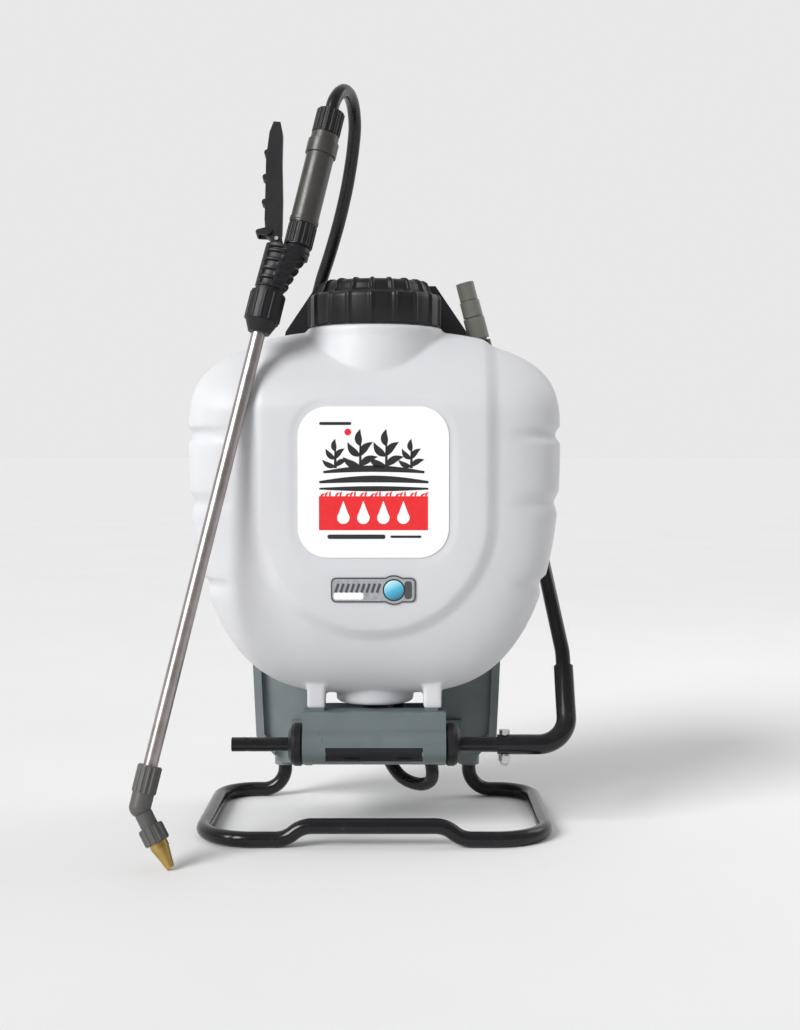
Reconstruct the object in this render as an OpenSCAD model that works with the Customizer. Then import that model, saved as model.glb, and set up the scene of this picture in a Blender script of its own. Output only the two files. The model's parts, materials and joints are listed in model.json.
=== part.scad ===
// Backpack sprayer: a translucent tank on a tube base, with an internal piston pump worked by a side
// lever, and a hand valve on a hose that carries the spray wand. Millimetres, +Z up, origin on the
// ground under the middle of the whole object. The label side faces -Y and the wearer's side +Y.

/* [Tank] */
// Half of the tank's width
tank_half_w = 194; // [192:1:197]
// Half of the tank's depth, without the raised front panel
tank_half_d = 94; // [92:1:96]
// Height of the tank's lowest point
tank_low = 142; // [141:1:144]
// Height of the tank's shoulders, where the filler neck starts
tank_top = 522; // [520:1:523]
// Wall of the moulded tank
tank_wall = 3; // [2:0.5:4]
// How far the shield-shaped panel stands out of the front
shield_rise = 4; // [2:0.5:5]

/* [Lid] */
// Outer radius of the lid's ring
lid_r = 71; // [70:0.5:72]
// Height of the lid's lower rim
lid_low = 528.8; // [528.8:0.1:529.5]
// Number of grip ribs round the lid
lid_ribs = 18; // [12:1:20]

/* [Base] */
// Radius of the steel tubes and of the pump shaft
tube_r = 7.95; // [7.94:0.01:7.97]
// Half of the base ring's width, to the middle of its tube
ring_half_w = 177; // [174:1:180]
// Front and rear bars of the base ring
ring_front = -102; // [-106:1:-98]
ring_rear = 128; // [126:1:130]
// Height of the pump shaft
shaft_z = 93; // [92.5:0.5:93.5]
// Distance of the pump shaft in front of the tank's middle
shaft_y = -44; // [-44.5:0.5:-43.5]

/* [Lever] */
// How far the lever leans back at rest, in degrees
lever_lean = 32; // [30:1:34]
// Distance of the lever from the tank's middle
lever_x = 201.5; // [200:0.5:204]
// Length of the lever from the shaft to its end
lever_length = 405; // [380:5:410]
// Throw of the pump crank
crank_throw = 45; // [44:0.5:46]

/* [Wand] */
// Lean of the wand sideways and backwards, in degrees
wand_tilt = 12.8; // [12.7:0.1:12.9]
wand_back = 11.45; // [11.35:0.05:11.5]
// Radius of the wand tube
wand_r = 7; // [6.5:0.1:7.2]
// Distance of the grip's axis beside the wand's axis
grip_offset = 17.5; // [17:0.5:18]

/* [Hose] */
// Outer diameter of the spray hose
hose_d = 14; // [13:0.5:14]

/* [Hidden] */
$fn = 48;
fit = 0.05;
stand_x = 10.3;
stand_y = 5.7;
belly_z = 400;
front_low = 285;
front_high = 440;
back_high = 455;
ring_n = 4;
ring_points = 32;
groove_depth = 5;
groove_heights = [415, 345, 260];
neck_r = 63;
neck_top = 550;
bush_x = 74;
stub_start = 89.5;
stub_end = 148.5;
stub_r = 7.4;
housing_half_w = 66;
housing_top = 129;
barrel_r = 20.5;
barrel_y = -48;
barrel_z = 93.5;
cover_low = 79.2;
cover_high = 93.2;
crank_angle = 20;
nozzle_at = [-222, -174, 58];
spray_turn = 41;
shield_half_w = 118;
label_half = 75.5;
label_z = 367;
badge_z = 259;
leg_x = 106;
leg_bend = 25;
corner_r = 40;
front_r = 55;
ring_step = 13.5;
step_r = 28.8;
step_angle = acos(1 - ring_step / step_r / 2);
step_x = 62;
flat_x = step_x + 2 * step_r * sin(step_angle);
east = [1, 0, 0];
north = [0, 1, 0];
up = [0, 0, 1];
handle_outside = [[-106, 505.2], [-100, 531], [-66, 581], [66, 581], [100, 531], [106, 505.2]];
handle_inside = [[-78, 505], [-74, 527], [-50, 559], [50, 559], [74, 527], [78, 505]];
lever_bend = 8.3;
lever_bend_r = 80;
bend_z = 105;
pin_z = shaft_z + crank_throw * sin(crank_angle);
pivot_x = -4;
pivot_z = 577;
lock_x = -15;
lock_z = 584;

// Route of the hose from the outlet under the base to the guide behind the carry handle.
lower_route = [[58, -7, 81.8], [59, -7, 70], [61, -5, 58], [60, 2, 46], [52, 12, 39], [40, 24, 38],
    [28, 36, 42], [18, 47, 52], [10, 57, 68], [4, 65, 88], [-1, 72, 110], [-6, 78, 135],
    [-10, 85, 162], [-15, 92, 192], [-22, 97, 222], [-32, 100.5, 252], [-46, 102.5, 285],
    [-62, 103.5, 320], [-77, 104, 358], [-88, 104, 398], [-95, 104, 440], [-99, 105, 477],
    [-98, 106, 503], [-92.5, 107.5, 522], [-84, 108, 537], [-75.5, 107.6, 551.5]];
// Route of the hose from that guide over to the tail of the grip.
upper_route = [[-74.9, 107.5, 552.5], [-68, 105.3, 568], [-61, 99, 592], [-51.3, 87.7, 618.6],
    [-41, 76.1, 650.7], [-32.7, 67.5, 682.8], [-27.6, 60.7, 708.5], [-24.3, 54.1, 729.6],
    [-22.3, 44.1, 749.6], [-23.3, 29.1, 765.6], [-26.3, 11.1, 774.1], [-31.3, -6.9, 775.6],
    [-36.3, -21.9, 769.6], [-41.3, -30.4, 759.6], [-44.3, -34.1, 748.4]];
// Middle line of a shoulder pad and of the webbing below it, on the +X side.
pad_route = [[58, 101, 497], [60, 114, 501], [63, 132, 493], [68, 145, 470], [74, 152, 435],
    [80, 152, 395], [86, 147, 350], [92, 140, 305]];
web_route = [[92, 140, 300], [97, 136, 255], [103, 131, 215], [110, 126, 180], [117, 121, 145],
    [122, 116, 122]];

function sign_of(a) = a < 0 ? -1 : 1;
function rounded(r, c) = r * sign_of(c) * pow(abs(c), 2 / ring_n);
function taper(t, p, q) = pow(max(0, 1 - pow(max(0, t), p)), 1 / q);
function half_width(z) = tank_half_w * (z < belly_z
    ? taper((belly_z - z) / (belly_z - tank_low), 2.2, 3.3)
    : taper((z - belly_z) / (tank_top - belly_z), 4, 2.1));
function low_taper(z) = taper((front_low - z) / (front_low - tank_low), 2.2, 2.6);
function half_front(z) = tank_half_d * (z < front_low ? low_taper(z)
    : z > front_high ? taper((z - front_high) / (tank_top - front_high), 1.5, 1.5) : 1);
function half_back(z) = tank_half_d * (z < front_low ? low_taper(z)
    : z > back_high ? taper((z - back_high) / (tank_top - back_high), 2.2, 2) : 1);
function groove(z) = max([for (g = groove_heights)
    groove_depth * max(0, min(1, (8 - abs(z - g)) / 4.5))]);
function sorted(v) = len(v) < 2 ? v : let (p = v[floor(len(v) / 2)])
    concat(sorted([for (x = v) if (x < p) x]), [p], sorted([for (x = v) if (x > p) x]));
plain_levels = sorted(concat(
    [for (a = [4, 10, 20, 30, 40, 50, 60, 70, 80]) tank_low + (belly_z - tank_low) * (1 - cos(a))],
    [for (b = [4, 10, 20, 30, 40, 50, 60, 70, 80]) tank_top - (tank_top - 430) * (1 - cos(b))]));
grooved_levels = sorted(concat(plain_levels,
    [for (g = groove_heights) for (d = [-8, -3.5, 3.5, 8]) g + d]));
function unit(v) = v / norm(v);
function route_way(p, i) = unit(p[min(i + 1, len(p) - 1)] - p[max(i - 1, 0)]);

module at_stand() translate([stand_x, stand_y, 0]) children();
module both_sides() {
    children();
    mirror([1, 0, 0]) children();
}
module x_rod(r, x1, x2, y, z) translate([x1, y, z]) rotate([0, 90, 0]) cylinder(r = r, h = x2 - x1);
module y_rod(r, y1, y2, x, z) translate([x, y1, z]) rotate([-90, 0, 0]) cylinder(r = r, h = y2 - y1);
module tube(ro, ri, h) difference() {
    cylinder(r = ro, h = h);
    translate([0, 0, -1]) cylinder(r = ri, h = h + 2);
}
module slab(x1, x2, y1, y2, z1, z2) translate([x1, y1, z1]) cube([x2 - x1, y2 - y1, z2 - z1]);
module rounded_square(w, h, r) hull() for (x = [-1, 1], y = [-1, 1])
    translate([x * (w / 2 - r), y * (h / 2 - r)]) circle(r = r, $fn = 32);
// A flat outline drawn in X and Z, given a thickness from y1 to y2.
module upright(y1, y2) translate([0, y2, 0]) rotate([90, 0, 0]) linear_extrude(y2 - y1) children();
// A flat outline drawn in Y and Z, given a thickness from x1 to x2.
module sideways(x1, x2) translate([x1, 0, 0]) rotate([90, 0, 90]) linear_extrude(x2 - x1) children();
module wand_frame() translate(nozzle_at) rotate([-wand_back, 0, 0]) rotate([0, wand_tilt, 0])
    children();
module lever_frame() translate([0, shaft_y, shaft_z]) rotate([-lever_lean, 0, 0]) children();
module spare_frame() translate([119.3, 84, 506]) rotate([0, -14.7, 0]) children();
module spray_frame() wand_frame() rotate([0, 180 - spray_turn, 0]) children();

// The tank's skin, grown outwards by grow, with or without the grooves round its sides.
module tank_skin(grow, levels, grooves = true) {
    n = ring_points;
    middle = (tank_low + tank_top) / 2;
    points = [for (z = levels) for (k = [0 : n - 1])
        let (a = 360 * k / n, g = grow - (grooves ? groove(z) : 0))
        [rounded(max(half_width(z), 8) + g, cos(a)),
         rounded(max(sin(a) < 0 ? half_front(z) : half_back(z), 8) + g, sin(a)),
         middle + (z - middle) * (1 + grow / (tank_top - middle))]];
    m = len(levels);
    sides = [for (i = [0 : m - 2]) for (k = [0 : n - 1])
        [i * n + k, (i + 1) * n + k, (i + 1) * n + (k + 1) % n, i * n + (k + 1) % n]];
    polyhedron(points, concat([[for (k = [0 : n - 1]) k]], sides,
        [[for (k = [n - 1 : -1 : 0]) (m - 1) * n + k]]));
}
module shield_outline() {
    translate([0, 332]) circle(r = shield_half_w);
    translate([-shield_half_w, 332]) square([2 * shield_half_w, 183]);
}
module shield_skin(grow) tank_skin(grow, plain_levels, false);
module tank_body() {
    tank_skin(0, grooved_levels);
    intersection() {
        shield_skin(shield_rise);
        upright(-150, -10) shield_outline();
    }
    translate([0, 0, 478]) cylinder(r = 72, h = 49);
    translate([0, 0, 133]) cylinder(r = 41, h = 18);
    both_sides() {
        slab(53, 69, -52, -28, 133, 160);
        translate([92, 84, 430]) linear_extrude(75) rounded_square(28, 20, 5);
    }
}
module tank() at_stand() color("#dfe2ec", 0.75) difference() {
    resize([2 * tank_half_w, 0, 0]) difference() {
        union() {
            tank_body();
            translate([0, 0, 520]) cylinder(r = neck_r, h = neck_top - 520);
        }
        tank_skin(-tank_wall, grooved_levels);
        translate([0, 0, 470]) cylinder(r = 57, h = 90);
        translate([0, 0, 470]) cylinder(r = 69, h = 53);
        translate([0, 0, 546.5]) cylinder(r = 60.3, h = 10);
        translate([0, 0, 137]) cylinder(r = 37.5, h = 16);
    }
    translate([0, 0, 130]) cylinder(r = 12.3, h = 20);
    translate([25, 18, 130]) cylinder(r = 6.3, h = 20);
    both_sides() {
        translate([92, 84, 490]) cylinder(r = 2.6, h = 20);
        translate([60, -42, 130]) cylinder(r = 2.6, h = 14);
    }
}
module on_front(grow) difference() {
    intersection() {
        shield_skin(shield_rise + grow);
        upright(-130, -60) children();
    }
    shield_skin(shield_rise);
}
module front_label() at_stand() color("#f4f5f7") on_front(1)
    translate([0, label_z]) rounded_square(2 * label_half, 2 * label_half, 30);
module pump_badge() at_stand() color("#b8bcc4") on_front(1.4)
    translate([0, badge_z]) rounded_square(85, 30, 13);

module strainer_basket() at_stand() color("#cfd3da") {
    translate([0, 0, 546.8]) tube(60, 53, 2.7);
    translate([0, 0, 480]) tube(55, 53, 68);
    translate([0, 0, 478]) cylinder(r = 55, h = 2.2);
}

// Carry handle behind the lid.
module carry_handle() at_stand() color("#242427") difference() {
    upright(74, 94) difference() {
        polygon(handle_outside);
        polygon(handle_inside);
        translate([0, 500]) square([152, 12], center = true);
    }
    both_sides() {
        translate([92, 84, 500]) cylinder(r = 3.3, h = 40);
        translate([92, 84, 514]) cylinder(r = 6, h = 60);
    }
}
module handle_screws() at_stand() color("#8d9094") both_sides() translate([92, 84, 0]) {
    translate([0, 0, 493]) cylinder(r = 2.5, h = 21.3);
    translate([0, 0, 514.2]) cylinder(r = 5, h = 4);
}
module hose_guide() at_stand() color("#1d1d20") difference() {
    union() {
        translate([-85.5, 108, 532]) rotate([0, 28, 0]) cylinder(r = 12.5, h = 13, center = true);
        slab(-94, -78, 94.2, 101, 527, 537);
    }
    translate([-85.5, 108, 532]) rotate([0, 28, 0]) cylinder(r = 9.4, h = 40, center = true);
}
module nozzle_holder() at_stand() color("#1d1d20") {
    difference() {
        union() {
            spare_frame() translate([0, 0, 3]) cylinder(r = 12, h = 12);
            slab(106, 112, 76, 92, 508, 515);
        }
        spare_frame() cylinder(r = 9.4, h = 30);
    }
}

// Base housing: a trough with a round barrel in front, and two cheeks that carry the pump shaft.
module trough_outline(t) {
    translate([barrel_y, barrel_z]) circle(r = barrel_r - t);
    translate([-60 + t, barrel_z]) square([30, housing_top - 3 - t - barrel_z]);
    translate([-57 + t, barrel_z]) square([27, housing_top - t - barrel_z]);
    translate([-57 + t, housing_top - 3 - t]) circle(r = 3);
    translate([barrel_y, barrel_z - barrel_r + 0.3 + t]) square([18, barrel_r]);
}
module cheek_outline() {
    trough_outline(0);
    polygon([[-31, 75], [-20, 66], [96, 62], [96, 124], [-31, 124]]);
}
module base_housing() at_stand() color("#79858a") difference() {
    union() {
        sideways(-housing_half_w, housing_half_w) difference() {
            trough_outline(0);
            trough_outline(4);
            translate([-30, 60]) square([80, 90]);
        }
        slab(-housing_half_w, housing_half_w, 34, 38, 73, 123);
        both_sides() {
            sideways(housing_half_w, bush_x) cheek_outline();
            slab(52, housing_half_w, -52, -34, 125, 132.8);
            slab(housing_half_w, 96, 92, 99.8, 64, 94);
        }
    }
    x_rod(14, -100, 100, shaft_y, shaft_z);
    slab(-50, 50, -90, -55, cover_low - 0.5, cover_high + 0.5);
    translate([58.4, -7, 60]) cylinder(r = 11.6, h = 22);
    both_sides() {
        y_rod(2.6, 80, 110, 86, 78);
        translate([60, -42, 110]) cylinder(r = 3.2, h = 30);
    }
}
module housing_cover() at_stand() color("#262426") {
    sideways(-49.4, 49.4) intersection() {
        translate([barrel_y, barrel_z]) difference() {
            circle(r = barrel_r - 0.5);
            circle(r = barrel_r - 3.2);
        }
        translate([-80, cover_low]) square([30, cover_high - cover_low]);
    }
    for (x = [-23, 31]) slab(x - 8, x + 8, -65.5, -60, cover_low, cover_low + 2.2);
}
module bush() at_stand() color("#1c1c1e") difference() {
    translate([bush_x + 0.1, shaft_y, shaft_z]) rotate([0, 90, 0]) {
        cylinder(r1 = 20.6, r2 = 22.3, h = 2.4);
        translate([0, 0, 2.3]) cylinder(r = 22.3, h = 6);
        translate([0, 0, 8.2]) cylinder(r1 = 22.3, r2 = 20.4, h = 3.4);
        translate([0, 0, 11.5]) cylinder(r1 = 20.4, r2 = 15, h = 3.4);
        translate([0, 0, -14]) cylinder(r = 13.9, h = 15);
    }
    x_rod(tube_r + fit, 40, 120, shaft_y, shaft_z);
}
module shaft_bush_left() translate([2 * stand_x, 0, 0]) mirror([1, 0, 0]) bush();
module shaft_bush_right() bush();

// Back panel with sockets for the base frame's legs and a window over the hose.
module panel_outline(inset) polygon([[-141 + inset, 185], [-136 + inset, 76], [-106, 44 + inset],
    [106, 44 + inset], [136 - inset, 76], [141 - inset, 185]]);
module back_panel() at_stand() color("#68736f") difference() {
    union() {
        upright(100, 104) panel_outline(0);
        upright(92, 100.5) difference() {
            panel_outline(0);
            translate([0, 2]) panel_outline(9);
            translate([0, 30]) square([230, 60], center = true);
        }
        both_sides() {
            translate([leg_x, ring_rear, 38]) cylinder(r = 12, h = 82);
            slab(leg_x - 8, leg_x + 8, 102, 120, 46, 118);
            slab(118, 126, 103, 113, 114, 130);
        }
    }
    translate([0, 100, 114]) rotate([90, 0, 0]) translate([0, 0, -8]) linear_extrude(16)
        rounded_square(124, 30, 8);
    both_sides() {
        translate([leg_x, ring_rear, 30]) cylinder(r = tube_r + fit, h = 84);
        y_rod(3.2, 95, 110, 86, 78);
        y_rod(2.6, 130, 142, leg_x, 66);
    }
}
module base_screws() at_stand() color("#8d9094") both_sides() {
    translate([86, 0, 78]) rotate([-90, 0, 0]) translate([0, 0, 86]) cylinder(r = 2.5, h = 18.2);
    translate([86, 104.2, 78]) rotate([-90, 0, 0]) cylinder(r = 5, h = 3);
    translate([60, -42, 121.4]) cylinder(r = 5, h = 3.4);
    translate([60, -42, 124.7]) cylinder(r = 2.5, h = 18);
    y_rod(2.5, 136.2, 140.2, leg_x, 66);
    y_rod(4.5, 140.1, 142.6, leg_x, 66);
}

// Points along an arc: centre, the two directions it turns between, radius and angles.
function arc(c, u, v, r, a1, a2, n) = [for (i = [0 : n]) let (a = a1 + (a2 - a1) * i / n)
    c + r * (cos(a) * u + sin(a) * v)];
half_ring = concat([[leg_x, ring_rear, 112]],
    arc([leg_x + leg_bend, ring_rear, tube_r + leg_bend], east, up, leg_bend, 180, 270, 6),
    arc([ring_half_w - corner_r, ring_rear - corner_r, tube_r], east, north, corner_r, 90, 0, 7),
    arc([ring_half_w - front_r, ring_front + front_r, tube_r], east, north, front_r, 0, -90, 8),
    arc([flat_x, ring_front, tube_r + step_r], east, up, step_r, 270, 270 - step_angle, 3),
    arc([step_x, ring_front, tube_r + ring_step - step_r], east, up, step_r, 90 - step_angle * 2 / 3, 90, 2));
function mirrored(route) = [for (i = [len(route) - 1 : -1 : 0])
    [-route[i][0], route[i][1], route[i][2]]];
module base_frame() at_stand() color("#151619")
    sweep(concat(half_ring, mirrored(half_ring)), tube_r, 16);

// Pump inside the tank.
module pump_cylinder() at_stand() color("#e8e8e4") difference() {
    translate([0, 0, 146]) cylinder(r = 25, h = 134);
    translate([0, 0, 146]) cylinder(r = 22, h = 128);
    translate([0, 0, 270]) cylinder(r = 6, h = 20);
    for (a = [45 : 90 : 315]) rotate([0, 0, a]) translate([18, 0, 152]) rotate([0, 90, 0])
        cylinder(r = 4, h = 12);
}
module pressure_chamber() at_stand() color("#d6d8d2") difference() {
    union() {
        translate([0, 0, 142]) cylinder(r = 37, h = 150);
        translate([0, 0, 292]) scale([1, 1, 0.5]) sphere(r = 37);
    }
    translate([0, 0, 145.9]) cylinder(r = 34, h = 146);
    translate([0, 0, 291]) scale([1, 1, 0.5]) sphere(r = 34);
    translate([0, 0, 140]) cylinder(r = 12.3, h = 8);
    translate([25, 18, 140]) cylinder(r = 6.3, h = 8);
}
module rod_seal() at_stand() color("#1b1b1b") difference() {
    union() {
        translate([0, 0, 123]) cylinder(r = 14.5, h = 9.8);
        translate([0, 0, 132]) cylinder(r = 12, h = 13.8);
    }
    translate([0, 0, 120]) cylinder(r = 6 + fit, h = 40);
}
module outlet_valve() at_stand() color("#b08d3c") {
    translate([0, 0, 272]) cylinder(r = 5.7, h = 9);
    translate([0, 0, 280.1]) cylinder(r = 11, h = 4.1);
}
module outlet_pipe() at_stand() color("#3a3b3e") {
    translate([25, 18, 102]) cylinder(r = 6, h = 43.5);
    translate([25, 18, 102]) sphere(r = 7.6);
    bar_between([25, 18, 102], [58, -7, 102], 6);
    translate([58, -7, 102]) sphere(r = 7.6);
    translate([58, -7, 82.2]) cylinder(r = 5.5, h = 20);
}
module bar_between(a, b, r) translate(a)
    rotate([0, acos((b - a)[2] / norm(b - a)), atan2((b - a)[1], (b - a)[0])])
    cylinder(r = r, h = norm(b - a));
module hose_clamp() at_stand() color("#9a9c9f") translate([58.4, -7, 71]) {
    tube(10.4, 8.2, 7);
    slab(-15, -10.2, -3, 3, 1, 6);
}

// A round bar or hose swept along its route: one ring of points at each route point.
module sweep(route, r, sides) {
    m = len(route);
    start = unit(cross(route_way(route, 0), [0.3, 0.9, 0.3]));
    sideways_of = [for (i = 0, u = start; i < m; i = i + 1,
        u = i < m ? unit(u - (u * route_way(route, i)) * route_way(route, i)) : u) u];
    points = [for (i = [0 : m - 1]) let (u = sideways_of[i], v = cross(route_way(route, i), u))
        for (k = [0 : sides - 1])
            route[i] + r * (cos(360 * k / sides) * u + sin(360 * k / sides) * v)];
    polyhedron(points, concat([[for (k = [0 : sides - 1]) k]],
        [for (i = [0 : m - 2]) for (k = [0 : sides - 1])
            [i * sides + k, (i + 1) * sides + k, (i + 1) * sides + (k + 1) % sides,
             i * sides + (k + 1) % sides]],
        [[for (k = [sides - 1 : -1 : 0]) (m - 1) * sides + k]]));
}
module hose_lower() at_stand() color("#121214") sweep(lower_route, hose_d / 2, 8);
module hose_upper() at_stand() color("#121214") sweep(upper_route, hose_d / 2, 8);

// A flat strap swept along its route, its width along X.
module strap(route, width, thick) {
    m = len(route);
    points = [for (i = [0 : m - 1]) let (w = route_way(route, i), v = unit(cross(w, [1, 0, 0])))
        for (s = [[-1, -1], [1, -1], [1, 1], [-1, 1]])
            route[i] + [s[0] * width / 2, 0, 0] + s[1] * thick / 2 * v];
    polyhedron(points, concat([[3, 2, 1, 0]],
        [for (i = [0 : m - 2]) for (k = [0 : 3])
            [i * 4 + k, i * 4 + (k + 1) % 4, (i + 1) * 4 + (k + 1) % 4, (i + 1) * 4 + k]],
        [[for (k = [0 : 3]) (m - 1) * 4 + k]]));
}
module right_pad() strap(pad_route, 56, 12);
module right_web() strap(web_route, 25, 2);
module shoulder_pad_right() at_stand() color("#1c1d21") right_pad();
module shoulder_pad_left() at_stand() color("#1c1d21") mirror([1, 0, 0]) right_pad();
module strap_webbing_right() at_stand() color("#101013") right_web();
module strap_webbing_left() at_stand() color("#101013") mirror([1, 0, 0]) right_web();
module strap_buckles() at_stand() color("#26272b") both_sides() translate([96, 140.5, 262])
    rotate([-5, 0, 0]) difference() {
        slab(-17, 17, -2.5, 2.5, -14, 14);
        for (z = [-8.5, 2.5]) slab(-13.5, 13.5, -3, 3, z, z + 6);
    }
module lumbar_pad() at_stand() color("#202126") translate([0, 120, 190]) rotate([90, 0, 0])
    translate([0, 0, -12]) linear_extrude(24) rounded_square(168, 104, 24);

// Lid.
module lid_gasket() at_stand() color("#161616") translate([0, 0, neck_top + 0.2]) tube(63.5, 60.8, 2.5);
module lid() at_stand() color("#38373b") difference() {
    union() {
        translate([0, 0, lid_low]) cylinder(r = lid_r - 2, h = 30.2);
        translate([0, 0, 557]) cylinder(r1 = 55, r2 = 46, h = 19);
        for (i = [0 : lid_ribs - 1]) rotate([0, 0, (i + 0.4) * 360 / lid_ribs]) {
            translate([lid_r - 4, 0, lid_low + 0.6]) cylinder(r = 4, h = 29);
            translate([0, 2.5, 0]) rotate([90, 0, 0]) linear_extrude(5)
                polygon([[30, 555], [57, 555], [57, 563], [49, 578], [30, 578]]);
        }
    }
    translate([0, 0, lid_low - 1]) cylinder(r = 65, h = 25);
    translate([0, 0, 548]) cylinder(r = 40, h = 20);
}
module lid_vent() at_stand() color("#4b4a4e") {
    translate([0, 0, 560]) cylinder(r = 9, h = 7.9);
    translate([0, 0, 556]) cylinder(r = 12, h = 4.1);
}

// Pump lever and crank, all fixed to the shaft.
module pump_shaft() at_stand() color("#6f7274") difference() {
    union() {
        x_rod(tube_r, -stub_start, 160, shaft_y, shaft_z);
        x_rod(stub_r, -stub_end, -stub_start + 1, shaft_y, shaft_z);
    }
    translate([-132, shaft_y, 70]) cylinder(r = 3.2, h = 46);
    translate([135.5, shaft_y, 70]) cylinder(r = 3.1, h = 46);
    translate([19, shaft_y, shaft_z]) rotate([crank_angle, 0, 0]) rotate([-90, 0, 0])
        translate([0, 0, -20]) cylinder(r = 2.55, h = 40);
}
module crank_arm() at_stand() color("#55585c") translate([0, shaft_y, shaft_z])
    rotate([crank_angle, 0, 0]) difference() {
        union() {
            x_rod(14, 12, 26, 0, 0);
            slab(14, 24, 0, crank_throw, -8, 8);
            x_rod(8, 14, 24, crank_throw, 0);
        }
        x_rod(tube_r + fit, 0, 40, 0, 0);
        x_rod(4.02, 0, 40, crank_throw, 0);
    }
module crank_pin() at_stand() color("#8d9094") translate([0, shaft_y, shaft_z])
    rotate([crank_angle, 0, 0]) {
        x_rod(4, -12, 24.2, crank_throw, 0);
        x_rod(6.5, 24.2, 27, crank_throw, 0);
    }
module lever_elbow() at_stand() color("#17181b") lever_frame() difference() {
    union() {
        x_rod(10.4, 128, lever_x - 31, 0, 0);
        translate([lever_x - 31, 0, 31]) rotate([90, 0, 0]) rotate([0, 0, -90])
            rotate_extrude(angle = 90, $fn = 72) translate([31, 0]) circle(r = 10.4);
        translate([lever_x, 0, 31]) cylinder(r = 10.4, h = 57);
    }
    x_rod(tube_r + fit, 120, 160.2, 0, 0);
    translate([lever_x, 0, 45]) cylinder(r = tube_r + fit, h = 60);
    rotate([lever_lean, 0, 0]) translate([135.5, 0, -25]) cylinder(r = 3.1, h = 50);
}
module upper_lever_frame() translate([lever_x, 0, bend_z]) rotate([0, -lever_bend, 0]) children();
module lever_arm() at_stand() color("#17181b") lever_frame() {
    sweep(concat([[lever_x, 0, 45.2]],
        arc([lever_x - lever_bend_r, 0, bend_z - lever_bend_r * tan(lever_bend / 2)], east, up,
            lever_bend_r, 0, lever_bend, 3),
        [[lever_x, 0, bend_z] + (lever_length - bend_z - 2) * [-sin(lever_bend), 0, cos(lever_bend)]]),
        tube_r, 20);
}
module lever_grip() at_stand() color("#1f2023") lever_frame() upper_lever_frame()
    translate([0, 0, lever_length - bend_z - 112]) difference() {
        union() {
            cylinder(r = 13.5, h = 114);
            for (z = [8 : 14 : 106]) translate([0, 0, z]) cylinder(r = 14.6, h = 6);
        }
        translate([0, 0, -1]) cylinder(r = tube_r + fit, h = 111.3);
    }
module lever_bolt() at_stand() color("#a4a7aa") translate([135.5, shaft_y, shaft_z]) {
    translate([0, 0, -17]) cylinder(r = 3, h = 28);
    translate([0, 0, 10.8]) cylinder(r = 5.5, h = 4.5, $fn = 6);
}
module lever_nut() at_stand() color("#b9bcbe") translate([135.5, shaft_y, shaft_z - 20.5]) difference() {
    union() {
        translate([0, 0, 3]) cylinder(r = 6.2, h = 6.5, $fn = 6);
        translate([0, 0, 3]) sphere(r = 5);
    }
    translate([0, 0, 3]) cylinder(r = 3.02, h = 10);
}

// Piston and rod, moved by the crank pin in a slotted crosshead.
module pump_rod() at_stand() color("#b9bcbe") difference() {
    union() {
        slab(-8, 8, -14, 14, pin_z - 11, pin_z + 11);
        translate([0, 0, pin_z]) cylinder(r = 6, h = 233 - pin_z);
    }
    slab(-12, 12, -7.5, 7.5, pin_z - 4.4, pin_z + 4.4);
}
module piston() at_stand() color("#dcdcd6") difference() {
    translate([0, 0, 214]) cylinder(r = 21.2, h = 20);
    translate([0, 0, 210]) cylinder(r = 6.02, h = 23.1);
    translate([0, 0, 221]) difference() {
        cylinder(r = 30, h = 6);
        cylinder(r = 18, h = 6);
    }
    for (a = [30 : 60 : 330]) rotate([0, 0, a]) translate([12, 0, 210]) cylinder(r = 2.5, h = 30);
}
module piston_seal() at_stand() color("#141414") translate([0, 0, 221.2]) tube(21.95, 18.1, 5.6);
module inlet_valve() at_stand() color("#2b2b2b") translate([0, 0, 234.2]) tube(16, 3, 1.6);
module rod_guide() at_stand() color("#c9cbc6") {
    translate([0, 0, 184]) tube(9, 6.02, 8);
    for (a = [0 : 60 : 300]) rotate([0, 0, a]) slab(8.5, 19, -1, 1, 185, 191);
}

// Spare spray nozzle in its holder beside the carry handle.
module spare_nozzle() at_stand() color("#84867b") spare_frame() difference() {
    union() {
        cylinder(r = 8.8, h = 20);
        translate([0, 0, 18]) cylinder(r = 11.7, h = 24);
        translate([0, 0, 43]) cylinder(r = 11, h = 18);
        translate([0, 0, 40]) cylinder(r = 9.5, h = 30);
        translate([0, 0, 62]) cylinder(r = 10, h = 20);
    }
    translate([0, 0, 60]) cylinder(r = 7.05, h = 30);
}

// Hand valve, grip and wand, drawn upright along the wand's own line.
module valve_body() at_stand() color("#2a2a2c") wand_frame() difference() {
    union() {
        translate([0, 0, 522.3]) cylinder(r = 15.5, h = 20);
        hull() {
            translate([0, 0, 530]) cylinder(r = 15.5, h = 2, $fn = 32);
            translate([7, 0, 568]) cylinder(r = 21, h = 6, $fn = 32);
        }
        for (z = [532 : 9 : 559]) hull() {
            translate([-3, 0, z]) cylinder(r = 15.5, h = 4, $fn = 32);
            translate([10, 0, z]) cylinder(r = 18, h = 4, $fn = 32);
        }
        translate([grip_offset, 0, 568]) cylinder(r = 12.5, h = 8);
        slab(-9, 1.5, -11, 11, 570, 582);
    }
    translate([-2, 0, 545]) cylinder(r = 6, h = 27);
    translate([-2, 0, 510]) cylinder(r = 3, h = 80);
    slab(-16, 2, -6.5, 6.5, 571.1, 600);
    translate([pivot_x, -20, pivot_z]) rotate([-90, 0, 0]) cylinder(r = 2.02, h = 40);
}
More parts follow.
